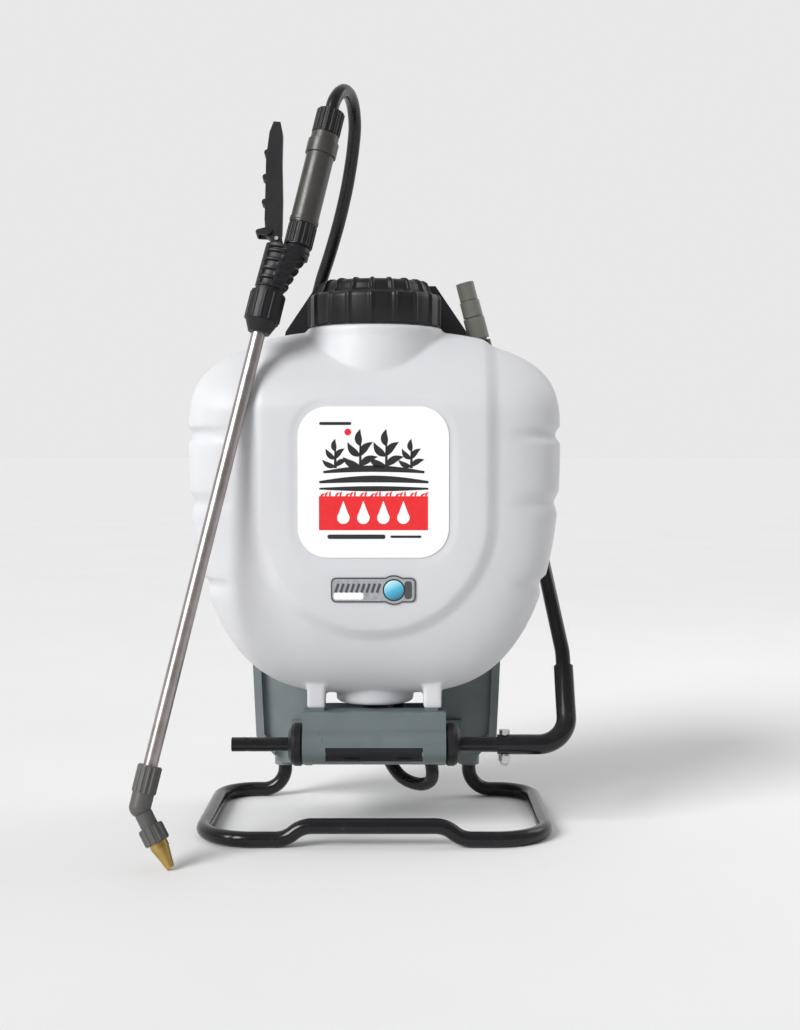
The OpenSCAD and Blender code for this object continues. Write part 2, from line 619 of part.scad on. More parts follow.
// A nut or collar with ribs all round it.
module ribbed_ring(r, h, bore, ribs) difference() {
    union() {
        cylinder(r = r - 1, h = h);
        for (i = [0 : ribs - 1]) rotate([0, 0, i * 360 / ribs]) translate([r - 1.6, 0, 1])
            cylinder(r = 1.6, h = h - 2, $fn = 16);
    }
    translate([0, 0, -1]) cylinder(r = bore, h = h + 2);
}
module grip_nut() at_stand() color("#28282a") wand_frame() translate([grip_offset, 0, 576.2])
    ribbed_ring(14.8, 23.8, 5, 16);
module grip_handle() at_stand() color("#61605c") wand_frame() translate([grip_offset, 0, 600.2])
    difference() {
        union() {
            cylinder(r = 14.3, h = 98.6);
            translate([0, 0, 76]) cylinder(r = 16, h = 15);
            translate([0, 0, 2]) cylinder(r = 15, h = 4);
        }
        translate([0, 0, -1]) cylinder(r = 6, h = 110);
    }
module tail_nut() at_stand() color("#28282a") wand_frame() translate([grip_offset, 0, 699])
    ribbed_ring(14.8, 26, 5, 16);
module wand_nut() at_stand() color("#2a2a2c") wand_frame() difference() {
    union() {
        translate([0, 0, 480]) cylinder(r1 = 11, r2 = 16.5, h = 12);
        translate([0, 0, 492]) ribbed_ring(18.3, 30, 5, 12);
    }
    translate([0, 0, 470]) cylinder(r = wand_r + fit, h = 28.2);
    translate([0, 0, 470]) cylinder(r = 5, h = 60);
}
module wand_tube() at_stand() color("#c9ccd0") wand_frame() translate([0, 0, 22])
    tube(wand_r, 5.5, 476);
module trigger_outline() {
    translate([pivot_x, pivot_z]) circle(r = 5.5);
    polygon([[-37, 700], [-30, 701], [-25, 690], [-18.5, 660], [-8.7, 622], [-3, 596], [-1, 586],
        [pivot_x + 3, pivot_z], [pivot_x - 3, pivot_z - 2], [-16.5, 580], [-21.5, 596], [-27, 622],
        [-35.4, 660], [-38.5, 688]]);
}
module trigger() at_stand() color("#232325") wand_frame() difference() {
    union() {
        upright(-6, 6) trigger_outline();
        for (p = [[-25.5, 614], [-31, 640], [-35.5, 666]]) translate([p[0], -6, p[1]])
            rotate([-90, 0, 0]) cylinder(r = 3.2, h = 12);
        translate([lock_x, -8.6, lock_z]) rotate([-90, 0, 0]) cylinder(r = 2, h = 17.2);
    }
    translate([pivot_x, -20, pivot_z]) rotate([-90, 0, 0]) cylinder(r = 2 + fit, h = 40);
}
module trigger_pin() at_stand() color("#9a9c9f") wand_frame() translate([pivot_x, -12.5, pivot_z])
    rotate([-90, 0, 0]) cylinder(r = 2, h = 25);
module trigger_lock() at_stand() color("#1d1d1f") wand_frame() difference() {
    union() {
        for (y = [-8.4, 6.4]) hull() {
            translate([lock_x, y, lock_z]) rotate([-90, 0, 0]) cylinder(r = 4, h = 2, $fn = 32);
            translate([-24, y, 581]) rotate([-90, 0, 0]) cylinder(r = 2.6, h = 2, $fn = 32);
        }
        translate([-25, -7, 581]) rotate([-90, 0, 0]) cylinder(r = 2, h = 14);
    }
    translate([lock_x, -20, lock_z]) rotate([-90, 0, 0]) cylinder(r = 2 + fit, h = 40);
}
module valve_stem() at_stand() color("#a8862f") wand_frame() translate([-2, 0, 0]) {
    translate([0, 0, 541]) cylinder(r = 2.5, h = 28);
    translate([0, 0, 545.6]) cylinder(r = 5, h = 2.4);
}
module valve_spring() at_stand() color("#a4a7aa") wand_frame() translate([-2, 0, 551]) {
    for (i = [0 : 4]) translate([0, 0, i * 3.6]) rotate_extrude() translate([4.5, 0]) circle(r = 0.7);
    for (a = [0, 180]) rotate([0, 0, a]) translate([4.5, 0, 0]) cylinder(r = 0.5, h = 14.4);
}
module nozzle_elbow() at_stand() color("#575653") {
    wand_frame() difference() {
        union() {
            sphere(r = 10.5);
            cylinder(r = 10.5, h = 14);
            translate([0, 0, 13]) ribbed_ring(12, 27, 5, 14);
        }
        translate([0, 0, 21.8]) cylinder(r = wand_r + fit, h = 30);
        cylinder(r = 5, h = 30);
    }
    spray_frame() translate([0, 0, 7]) tube(8.5, 5, 13.8);
}
module nozzle_nut() at_stand() color("#4a4a48") spray_frame() translate([0, 0, 21])
    ribbed_ring(12.5, 17, 5, 12);
module nozzle_tip() at_stand() color("#8f7332") spray_frame() translate([0, 0, 38.2]) difference() {
    union() {
        cylinder(r = 9, h = 6);
        translate([0, 0, 6]) cylinder(r1 = 8.4, r2 = 4, h = 20.4);
    }
    translate([0, 0, -1]) cylinder(r = 3, h = 20);
    cylinder(r = 1, h = 40);
}

tank();
front_label();
pump_badge();
strainer_basket();
carry_handle();
handle_screws();
hose_guide();
nozzle_holder();
base_housing();
housing_cover();
back_panel();
base_screws();
base_frame();
shaft_bush_left();
shaft_bush_right();
pump_cylinder();
pressure_chamber();
rod_seal();
outlet_valve();
outlet_pipe();
hose_clamp();
hose_lower();
shoulder_pad_left();
shoulder_pad_right();
strap_webbing_left();
strap_webbing_right();
strap_buckles();
lumbar_pad();
lid_gasket();
lid();
lid_vent();
pump_shaft();
crank_arm();
crank_pin();
lever_elbow();
lever_arm();
lever_grip();
lever_bolt();
lever_nut();
pump_rod();
piston();
piston_seal();
inlet_valve();
rod_guide();
spare_nozzle();
valve_body();
grip_handle();
grip_nut();
tail_nut();
wand_nut();
wand_tube();
hose_upper();
trigger();
trigger_pin();
trigger_lock();
valve_stem();
valve_spring();
nozzle_elbow();
nozzle_nut();
nozzle_tip();
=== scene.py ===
"""Looks of the backpack sprayer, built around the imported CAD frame."""
import math

import bmesh
import bpy
import numpy as np
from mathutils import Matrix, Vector
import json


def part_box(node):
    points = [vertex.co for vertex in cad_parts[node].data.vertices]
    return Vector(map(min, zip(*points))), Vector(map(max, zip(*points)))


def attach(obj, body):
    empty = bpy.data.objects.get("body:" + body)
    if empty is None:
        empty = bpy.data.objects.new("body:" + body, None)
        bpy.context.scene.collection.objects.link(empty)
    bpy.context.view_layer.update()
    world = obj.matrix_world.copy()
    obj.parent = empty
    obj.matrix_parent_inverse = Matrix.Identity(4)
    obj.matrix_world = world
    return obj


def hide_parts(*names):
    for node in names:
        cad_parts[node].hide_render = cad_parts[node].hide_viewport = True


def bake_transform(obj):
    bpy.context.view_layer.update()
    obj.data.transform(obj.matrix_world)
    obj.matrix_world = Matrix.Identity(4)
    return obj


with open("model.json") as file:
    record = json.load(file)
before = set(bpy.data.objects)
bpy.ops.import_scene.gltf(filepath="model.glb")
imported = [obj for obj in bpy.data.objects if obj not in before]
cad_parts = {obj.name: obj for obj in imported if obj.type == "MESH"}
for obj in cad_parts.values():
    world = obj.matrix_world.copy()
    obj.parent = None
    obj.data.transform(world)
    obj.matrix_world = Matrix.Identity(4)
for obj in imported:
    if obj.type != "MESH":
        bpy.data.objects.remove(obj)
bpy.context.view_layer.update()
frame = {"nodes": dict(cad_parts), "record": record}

MM = 0.001
gasket_low, gasket_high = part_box("lid_gasket")
TANK_X, TANK_Y = (gasket_low.x + gasket_high.x) / 2, (gasket_low.y + gasket_high.y) / 2
BODY_OF = {n: b for b, nodes in frame["record"]["behaviour"]["bodies"].items() for n in nodes}


def at(x, y, z):
    """A point given in millimetres from the ground under the tank's middle, in the row frame."""
    return Vector((TANK_X + x * MM, TANK_Y + y * MM, z * MM))


# ---------------------------------------------------------------- camera

CAMERA_AT = (26.6, -1600, 394)
CAMERA_PITCH = 2.28
CAMERA_LENS = 52.57


def make_camera():
    data = bpy.data.cameras.new("camera")
    data.lens = CAMERA_LENS
    data.sensor_width = 36
    camera = bpy.data.objects.new("camera", data)
    bpy.context.collection.objects.link(camera)
    camera.location = at(*CAMERA_AT)
    camera.rotation_euler = (math.radians(90 - CAMERA_PITCH), 0, 0)
    bpy.context.scene.camera = camera


make_camera()

# ---------------------------------------------------------------- materials


class Shader:
    """A Principled material with short calls for the nodes that drive it."""

    def __init__(self, name, rough=0.5, metal=0.0, **sockets):
        self.material = bpy.data.materials.new(name)
        self.material.use_nodes = True
        self.nodes = self.material.node_tree.nodes
        self.links = self.material.node_tree.links
        self.bsdf = self.nodes["Principled BSDF"]
        self.set("Roughness", rough)
        self.set("Metallic", metal)
        for key, value in sockets.items():
            self.set(key.replace("_", " "), value)
        self.place = self.nodes.new("ShaderNodeTexCoord").outputs["Object"]

    def set(self, key, value):
        self.bsdf.inputs[key].default_value = value

    def link(self, output, key):
        self.links.new(output, self.bsdf.inputs[key])

    def stretched(self, sx, sy, sz):
        node = self.nodes.new("ShaderNodeMapping")
        node.inputs["Scale"].default_value = (sx, sy, sz)
        self.links.new(self.place, node.inputs["Vector"])
        return node.outputs["Vector"]

    def noise(self, scale, detail=3.0, rough=0.55, vector=None):
        node = self.nodes.new("ShaderNodeTexNoise")
        node.inputs["Scale"].default_value = scale
        node.inputs["Detail"].default_value = detail
        node.inputs["Roughness"].default_value = rough
        self.links.new(vector or self.place, node.inputs["Vector"])
        return node.outputs["Fac"]

    def wave(self, scale, axis, distortion=0.0, vector=None):
        node = self.nodes.new("ShaderNodeTexWave")
        node.bands_direction = axis
        node.inputs["Scale"].default_value = scale
        node.inputs["Distortion"].default_value = distortion
        self.links.new(vector or self.place, node.inputs["Vector"])
        return node.outputs["Fac"]

    def ramp(self, fac, stops):
        node = self.nodes.new("ShaderNodeValToRGB")
        while len(node.color_ramp.elements) < len(stops):
            node.color_ramp.elements.new(0.5)
        for element, (place, colour) in zip(node.color_ramp.elements, stops):
            element.position = place
            element.color = colour if len(colour) == 4 else (*colour, 1)
        self.links.new(fac, node.inputs["Fac"])
        return node.outputs["Color"]

    def remap(self, fac, low, high, start=0.0, end=1.0):
        node = self.nodes.new("ShaderNodeMapRange")
        for key, value in (("From Min", start), ("From Max", end), ("To Min", low), ("To Max", high)):
            node.inputs[key].default_value = value
        self.links.new(fac, node.inputs["Value"])
        return node.outputs["Result"]

    def math(self, kind, a, b):
        node = self.nodes.new("ShaderNodeMath")
        node.operation = kind
        for socket, value in zip(node.inputs, (a, b)):
            if isinstance(value, (int, float)):
                socket.default_value = value
            else:
                self.links.new(value, socket)
        return node.outputs[0]

    def mix(self, fac, a, b):
        node = self.nodes.new("ShaderNodeMix")
        node.data_type = "RGBA"
        self.links.new(fac, node.inputs[0])
        for socket, value in ((node.inputs[6], a), (node.inputs[7], b)):
            if isinstance(value, tuple):
                socket.default_value = (*value, 1) if len(value) == 3 else value
            else:
                self.links.new(value, socket)
        return node.outputs[2]

    def bump(self, height, strength, distance):
        node = self.nodes.new("ShaderNodeBump")
        node.inputs["Strength"].default_value = strength
        node.inputs["Distance"].default_value = distance
        self.links.new(height, node.inputs["Height"])
        previous = self.bsdf.inputs["Normal"].links
        if previous:
            self.links.new(previous[0].from_socket, node.inputs["Normal"])
        self.link(node.outputs["Normal"], "Normal")


def shade(colour, factor):
    return tuple(min(1.0, c * factor) for c in colour)


def moulded(name, colour, rough=0.42, grain=0.25, **sockets):
    """Injection-moulded plastic: slow mottling, fine spark-eroded grain, scuffed gloss."""
    s = Shader(name, rough, **sockets)
    slow = s.noise(14, 4)
    s.link(s.ramp(slow, [(0.3, shade(colour, 0.86)), (0.7, shade(colour, 1.12))]), "Base Color")
    scuffs = s.noise(90, 5, 0.7, s.stretched(1, 1, 0.35))
    s.link(s.remap(scuffs, rough - 0.09, rough + 0.13, 0.3, 0.7), "Roughness")
    s.bump(s.noise(1500, 2), grain, 0.0002)
    s.bump(s.noise(25, 2), 0.12, 0.0008)
    return s.material


def tank_plastic():
    """Blow-moulded translucent polyethylene."""
    s = Shader("tank_plastic", 0.36)
    s.set("IOR", 1.5)
    s.set("Subsurface Weight", 0.3)
    s.set("Subsurface Radius", (1.0, 0.96, 0.9))
    s.set("Subsurface Scale", 0.007)
    cloud = s.noise(7, 4)
    s.link(s.ramp(cloud, [(0.3, (0.585, 0.59, 0.61)), (0.72, (0.64, 0.643, 0.66))]), "Base Color")
    s.link(s.remap(s.noise(60, 5, 0.7), 0.42, 0.6, 0.3, 0.7), "Roughness")
    s.bump(s.noise(18, 3), 0.16, 0.0016)
    s.bump(s.noise(420, 3), 0.1, 0.0003)
    return s.material


def black_paint():
    """Gloss powder coat on bent steel tube, with orange peel and a few dusty patches."""
    s = Shader("black_paint", 0.25)
    s.set("Specular IOR Level", 0.3)
    s.set("Coat Weight", 0.12)
    s.set("Coat Roughness", 0.12)
    dust = s.noise(40, 6, 0.7)
    s.link(s.ramp(dust, [(0.5, (0.008, 0.008, 0.0095)), (0.85, (0.018, 0.018, 0.019))]), "Base Color")
    s.link(s.remap(dust, 0.16, 0.32, 0.35, 0.8), "Roughness")
    s.bump(s.noise(700, 2), 0.12, 0.0002)
    return s.material


def brushed(name, colour, rough=0.28, stretch=(1, 1, 0.03)):
    """Drawn or turned metal: fine lines along one axis and some tarnish."""
    s = Shader(name, rough, 1.0)
    lines = s.noise(2600, 2, 0.6, s.stretched(*stretch))
    tarnish = s.noise(45, 5, 0.65)
    s.link(s.ramp(tarnish, [(0.35, shade(colour, 0.8)), (0.7, shade(colour, 1.08))]), "Base Color")
    wear = s.remap(tarnish, rough - 0.04, rough + 0.1)
    s.link(s.math("ADD", s.remap(lines, -0.05, 0.07), wear), "Roughness")
    s.bump(lines, 0.08, 0.00008)
    return s.material


def hose_rubber():
    """Smooth black hose with a faint lengthwise sheen and scuffs."""
    s = Shader("hose_rubber", 0.3)
    s.set("Specular IOR Level", 0.3)
    s.set("Coat Weight", 0.1)
    s.set("Coat Roughness", 0.2)
    scuffs = s.noise(120, 6, 0.75)
    s.link(s.ramp(scuffs, [(0.45, (0.009, 0.009, 0.010)), (0.8, (0.020, 0.020, 0.020))]), "Base Color")
    s.link(s.remap(scuffs, 0.22, 0.4, 0.35, 0.75), "Roughness")
    s.bump(s.noise(900, 3), 0.15, 0.0002)
    return s.material


def soft_rubber(name, colour, rough=0.62):
    s = Shader(name, rough)
    stops = [(0.35, shade(colour, 0.75)), (0.7, shade(colour, 1.5))]
    s.link(s.ramp(s.noise(60, 5), stops), "Base Color")
    s.link(s.remap(s.noise(200, 4), rough - 0.1, rough + 0.15), "Roughness")
    s.bump(s.noise(1300, 3), 0.3, 0.0003)
    return s.material


def woven(name, colour, threads=900.0, along="Z", sheen=0.35):
    """Plain weave: two crossing sets of threads with a painted highlight on their raised crossings, and uneven
    dye.
    """
    s = Shader(name, 0.85)
    s.set("Sheen Weight", sheen)
    s.set("Sheen Roughness", 0.5)
    warp = s.wave(threads, "X", 1.2)
    weft = s.wave(threads, along, 1.2)
    cloth = s.math("MULTIPLY", warp, weft)
    dye = s.noise(35, 5)
    tint = s.ramp(dye, [(0.3, shade(colour, 0.7)), (0.75, shade(colour, 1.5))])
    # painted highlight: where the threads cross and stand highest, the colour is made up to twice as light
    s.link(s.mix(s.remap(cloth, 0.0, 0.6), tint, shade(colour, 2.0)), "Base Color")
    s.link(s.remap(dye, 0.78, 0.95), "Roughness")
    s.bump(cloth, 0.5, 0.0004)
    s.bump(s.noise(22, 3), 0.2, 0.0015)
    return s.material


def printed(name, colour, rough=0.35, amount=0.05):
    """Printed film: nearly even ink with a slight mottle."""
    s = Shader(name, rough)
    s.set("Coat Weight", 0.3)
    s.set("Coat Roughness", 0.15)
    speck = s.noise(220, 4)
    stops = [(0.3, shade(colour, 1 - amount)), (0.7, shade(colour, 1 + amount))]
    s.link(s.ramp(speck, stops), "Base Color")
    s.link(s.remap(s.noise(40, 3), rough - 0.06, rough + 0.08), "Roughness")
    s.bump(s.noise(600, 2), 0.08, 0.0001)
    return s.material


def droplet_ink():
    """Blue ball printed on the badge, lighter towards its upper left."""
    s = Shader("droplet_ink", 0.2)
    s.set("Coat Weight", 0.6)
    split = s.nodes.new("ShaderNodeSeparateXYZ")
    s.links.new(s.place, split.inputs[0])
    centre = at(21, 0, 259)
    slope = s.math("ADD", split.outputs["Z"], s.math("MULTIPLY", split.outputs["X"], -0.5))
    middle = centre.z - 0.5 * centre.x
    tone = s.remap(slope, 0.0, 1.0, middle - 0.012, middle + 0.012)
    stops = [(0.0, (0.01, 0.09, 0.17)), (0.5, (0.05, 0.42, 0.62)), (1.0, (0.55, 0.88, 0.95))]
    s.link(s.ramp(tone, stops), "Base Color")
    s.link(s.remap(s.noise(200, 3), 0.15, 0.28), "Roughness")
    return s.material


def floor_paper():
    s = Shader("floor_paper", 0.8)
    s.link(s.ramp(s.noise(2.5, 3), [(0.3, (0.79, 0.79, 0.79)), (0.7, (0.81, 0.81, 0.81))]), "Base Color")
    s.bump(s.noise(300, 3), 0.05, 0.0003)
    return s.material


BLACK = (0.013, 0.013, 0.015)
MATERIALS = {
    "tank": tank_plastic(),
    "white": moulded("white_plastic", (0.72, 0.73, 0.74), 0.5),
    "black": moulded("black_plastic", BLACK, 0.4, 0.3, Specular_IOR_Level=0.28),
    "lid": moulded("lid_plastic", (0.012, 0.0115, 0.013), 0.36, 0.35, Specular_IOR_Level=0.3),
    "housing": moulded("grey_plastic", (0.125, 0.155, 0.158), 0.34, 0.2),
    "panel": moulded("panel_plastic", (0.185, 0.215, 0.222), 0.42, 0.3),
    "paint": black_paint(),
    "steel": brushed("bright_steel", (0.62, 0.62, 0.63)),
    "zinc": brushed("zinc_steel", (0.5, 0.5, 0.49), 0.38),
    "wand": brushed("wand_steel", (0.43, 0.395, 0.385), 0.3),
    "brass": brushed("brass_metal", (0.55, 0.38, 0.12), 0.3, (1, 1, 1)),
    "hose": hose_rubber(),
    "rubber": soft_rubber("black_rubber", (0.015, 0.015, 0.016)),
    "grip": moulded("grip_plastic", (0.045, 0.043, 0.038), 0.34, 0.15),
    "lever_grip": soft_rubber("lever_grip_rubber", (0.02, 0.02, 0.021)),
    "spare": moulded("warm_grey_plastic", (0.19, 0.19, 0.165), 0.45, 0.3),
    "nozzle": moulded("fitting_plastic", (0.085, 0.083, 0.080), 0.4, 0.3),
    "pad": woven("pad_fabric", (0.018, 0.018, 0.022), 700),
    "binding": woven("binding_tape", (0.010, 0.010, 0.012), 1100),
    "webbing": woven("webbing_tape", (0.012, 0.012, 0.014), 600),
    "thread": woven("stitch_thread", (0.09, 0.09, 0.10), 1500),
    "label": printed("label_film", (0.92, 0.92, 0.93), 0.35, 0.02),
    "ink_black": printed("ink_black", (0.008, 0.008, 0.009), 0.4),
    "ink_red": printed("ink_red", (0.76, 0.010, 0.016)),
    "ink_white": printed("ink_white", (0.88, 0.88, 0.88)),
    "ink_grey": printed("ink_grey", (0.05, 0.053, 0.057)),
    "silver": printed("badge_silver", (0.33, 0.34, 0.36), 0.25, 0.12),
    "droplet": droplet_ink(),
}

# ---------------------------------------------------------------- mesh helpers


def new_object(name, verts, faces, look, body, node=None):
    """A smooth-shaded piece that rides on a body and may stand for a CAD node."""
    mesh = bpy.data.meshes.new(name)
    mesh.from_pydata([tuple(v) for v in verts], [], faces)
    mesh.validate()
    obj = bpy.data.objects.new(name, mesh)
    bpy.context.collection.objects.link(obj)
    return finished(obj, look, body, node)


def finished(obj, look, body, node=None):
    obj.data.materials.clear()
    obj.data.materials.append(MATERIALS[look])
    obj.data.shade_smooth()
    obj.data.set_sharp_from_angle(angle=math.radians(38))
    if body:
        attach(obj, body)
    if node:
        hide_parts(node)
    return obj


def fix_normals(obj):
    bm = bmesh.new()
    bm.from_mesh(obj.data)
    bmesh.ops.recalc_face_normals(bm, faces=bm.faces)
    bm.to_mesh(obj.data)
    bm.free()


def apply_modifiers(obj):
    graph = bpy.context.evaluated_depsgraph_get()
    mesh = bpy.data.meshes.new_from_object(obj.evaluated_get(graph))
    obj.modifiers.clear()
    obj.data = mesh
    return obj


def grid_faces(rows, columns, closed=True):
    """Quads of a grid of points whose columns wrap round."""
    last = columns if closed else columns - 1
    return [
        (i * columns + k, i * columns + (k + 1) % columns, (i + 1) * columns + (k + 1) % columns,
         (i + 1) * columns + k)
        for i in range(rows - 1) for k in range(last)
    ]


def end_faces(rows, columns):
    """The two flat ends of a grid of points whose columns wrap round."""
    return [tuple(range(columns))[::-1], tuple((rows - 1) * columns + k for k in range(columns))]


def spline(points, steps):
    """Points of a smooth curve through the given ones."""
    p = [Vector(q) for q in points]
    p = [p[0] * 2 - p[1]] + p + [p[-1] * 2 - p[-2]]
    out = []
    for i in range(1, len(p) - 2):
        for s in range(steps):
            t = s / steps
            out.append(0.5 * (2 * p[i] + (p[i + 1] - p[i - 1]) * t
                              + (2 * p[i - 1] - 5 * p[i] + 4 * p[i + 1] - p[i + 2]) * t * t
                              + (3 * p[i] - p[i - 1] - 3 * p[i + 1] + p[i + 2]) * t ** 3))
    out.append(p[-2])
    return out


def sweep(path, outline, start=Vector((0.3, 0.9, 0.3))):
    """Points and faces of an outline swept along a path, with flat ends.
    outline(i) gives the (side, up) offsets at point i, in metres."""
    last = len(path) - 1
    ways = [(path[min(i + 1, last)] - path[max(i - 1, 0)]).normalized() for i in range(len(path))]
    side = ways[0].cross(start).normalized()
    verts = []
    for i, (point, way) in enumerate(zip(path, ways)):
        side = (side - way * side.dot(way)).normalized()
        up = way.cross(side)
        verts += [point + side * a + up * b for a, b in outline(i)]
    n = len(outline(0))
    faces = grid_faces(len(path), n)
    faces += end_faces(len(path), n)
    return verts, faces


def ring_outline(radius, sides):
    angles = [2 * math.pi * k / sides for k in range(sides)]
    return lambda i: [(radius * math.cos(a), radius * math.sin(a)) for a in angles]


def arc(centre, u, v, radius, start, end, steps):
    """Points on an arc, in millimetres from the tank's middle."""
    out = []
    for i in range(steps + 1):
        a = math.radians(start + (end - start) * i / steps)
        out.append(Vector(centre) + radius * (math.cos(a) * Vector(u) + math.sin(a) * Vector(v)))
    return out


# ---------------------------------------------------------------- hose

HOSE_D = 14.0
LOWER_ROUTE = [(58, -7, 81.8), (59, -7, 70), (61, -5, 58), (60, 2, 46), (52, 12, 39), (40, 24, 38),
               (28, 36, 42), (18, 47, 52), (10, 57, 68), (4, 65, 88), (-1, 72, 110), (-6, 78, 135),
               (-10, 85, 162), (-15, 92, 192), (-22, 97, 222), (-32, 100.5, 252), (-46, 102.5, 285),
               (-62, 103.5, 320), (-77, 104, 358), (-88, 104, 398), (-95, 104, 440), (-99, 105, 477),
               (-98, 106, 503), (-92.5, 107.5, 522), (-84, 108, 537), (-75.5, 107.6, 551.5)]
UPPER_ROUTE = [(-68, 105.3, 568), (-61, 99, 592), (-51.3, 87.7, 618.6), (-41, 76.1, 650.7),
               (-32.7, 67.5, 682.8), (-27.6, 60.7, 708.5), (-24.3, 54.1, 729.6), (-22.3, 44.1, 749.6),
               (-23.3, 29.1, 765.6), (-26.3, 11.1, 774.1), (-31.3, -6.9, 775.6), (-36.3, -21.9, 769.6),
               (-41.3, -30.4, 759.6), (-44.3, -34.1, 748.4)]


def make_hose():
    path = spline([at(*p) for p in LOWER_ROUTE + UPPER_ROUTE], 5)
    verts, faces = sweep(path, ring_outline(HOSE_D / 2 * MM, 20))
    hose = new_object("spray_hose", verts, faces, "hose", None, None)
    fix_normals(hose)
    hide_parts("hose_lower", "hose_upper")
    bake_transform(hose)


make_hose()

# ---------------------------------------------------------------- tank

HALF_W, HALF_D, LOW, TOP, BELLY = 194.0, 94.0, 142.0, 522.0, 400.0
FRONT_LOW, FRONT_HIGH, BACK_HIGH = 285.0, 440.0, 455.0
GROOVES = (415.0, 345.0, 260.0)
GROOVE_DEPTH = 5.0
SHIELD_HALF, SHIELD_MID, SHIELD_RISE, SHIELD_BEVEL = 125.0, 332.0, 5.0, 12.0
LABEL_Z, LABEL_HALF, LABEL_R = 367.0, 75.5, 30.0
BADGE_Z = 259.0
RECESS_HALF, RECESS_R, RECESS_DEPTH = 82.5, 36.0, 1.1


def taper(t, p, q):
    return max(0.0, 1 - max(0.0, t) ** p) ** (1 / q)


def half_width(z):
    if z < BELLY:
        return HALF_W * taper((BELLY - z) / (BELLY - LOW), 2.2, 3.3)
    return HALF_W * taper((z - BELLY) / (TOP - BELLY), 4, 2.1)


def half_depth(z, front):
    if z < FRONT_LOW:
        return HALF_D * taper((FRONT_LOW - z) / (FRONT_LOW - LOW), 2.2, 2.6)
    if front and z > FRONT_HIGH:
        return HALF_D * taper((z - FRONT_HIGH) / (TOP - FRONT_HIGH), 1.5, 1.5)
    if not front and z > BACK_HIGH:
        return HALF_D * taper((z - BACK_HIGH) / (TOP - BACK_HIGH), 2.2, 2)
    return HALF_D


def clamp(v):
    return min(1.0, max(0.0, v))


def square_distance(x, z, half, r):
    """Distance outside a rounded square round the label's middle, negative inside it."""
    dx, dz = abs(x) - half + r, abs(z - LABEL_Z) - half + r
    return math.hypot(max(dx, 0), max(dz, 0)) + min(max(dx, dz), 0) - r


def relief(x, y, z):
    """How far the moulded relief stands out of the plain skin."""
    edge = math.hypot(x, z - SHIELD_MID) - SHIELD_HALF if z < SHIELD_MID else abs(x) - SHIELD_HALF
    shield = clamp(-edge / SHIELD_BEVEL) * clamp((40 - y) / 30)
    groove = max(GROOVE_DEPTH * clamp((8 - abs(z - g)) / 4.5) for g in GROOVES)
    recess = RECESS_DEPTH * clamp(-square_distance(x, z, RECESS_HALF, RECESS_R) / 2.5) if y < 0 else 0
    groove *= clamp((abs(x) - 138) / 40) if y < 0 else 1
    return SHIELD_RISE * shield - groove * (1 - clamp(shield * 4)) - recess


def front_y(x, z):
    """Y of the moulded front at a place on the raised shield."""
    return -half_depth(z, True) * (1 - (abs(x) / half_width(z)) ** 4) ** 0.25 - relief(x, -90, z)


def skin_points(levels, columns):
    """The tank's skin as a grid of points: plain superellipses, pushed out by the relief."""
    base = np.zeros((len(levels), columns, 3))
    for i, z in enumerate(levels):
        w = max(half_width(z), 6)
        for k in range(columns):
            a = 2 * math.pi * k / columns
            c, s = math.cos(a), math.sin(a)
            d = max(half_depth(z, s < 0), 6)
            r = 1 / ((c / w) ** 4 + (s / d) ** 4) ** 0.25
            base[i, k] = (r * c, r * s, z)
    around = np.roll(base, -1, 1) - np.roll(base, 1, 1)
    upward = np.gradient(base, axis=0)
    normal = np.cross(around, upward)
    normal /= np.linalg.norm(normal, axis=2, keepdims=True) + 1e-9
    push = np.array([[relief(*p) for p in row] for row in base])
    return base + normal * push[:, :, None]


def lathe(profile, columns=96, centre=(0, 0)):
    """Points and faces of a closed turned solid; profile is (radius, z) from bottom to top."""
    verts = [at(centre[0] + r * math.cos(2 * math.pi * k / columns),
                centre[1] + r * math.sin(2 * math.pi * k / columns), z)
             for r, z in profile for k in range(columns)]
    rows = len(profile)
    faces = grid_faces(rows, columns)
    faces += end_faces(rows, columns)
    return verts, faces


def block(x1, x2, y1, y2, z1, z2, shrink=0.0):
    """Points and faces of a block whose lower end is narrower by shrink on each side."""
    verts = [at(x, y, z) for z, g in ((z1, shrink), (z2, 0))
             for x, y in ((x1 + g, y1 + g), (x2 - g, y1 + g), (x2 - g, y2 - g), (x1 + g, y2 - g))]
    return verts, grid_faces(2, 4) + [(3, 2, 1, 0), (4, 5, 6, 7)]


def joined(parts):
    verts, faces = [], []
    for v, f in parts:
        faces += [tuple(i + len(verts) for i in face) for face in f]
        verts += v
    return verts, faces


def cut(obj, tool_parts):
    """Takes turned or block shapes out of a piece."""
    verts, faces = joined(tool_parts)
    mesh = bpy.data.meshes.new("tool")
    mesh.from_pydata([tuple(v) for v in verts], [], faces)
    tool = bpy.data.objects.new("tool", mesh)
    bpy.context.collection.objects.link(tool)
    fix_normals(tool)
    modifier = obj.modifiers.new("cut", "BOOLEAN")
    modifier.operation = "DIFFERENCE"
    modifier.object = tool
    modifier.solver = "EXACT"
    apply_modifiers(obj)
    bpy.data.objects.remove(tool)


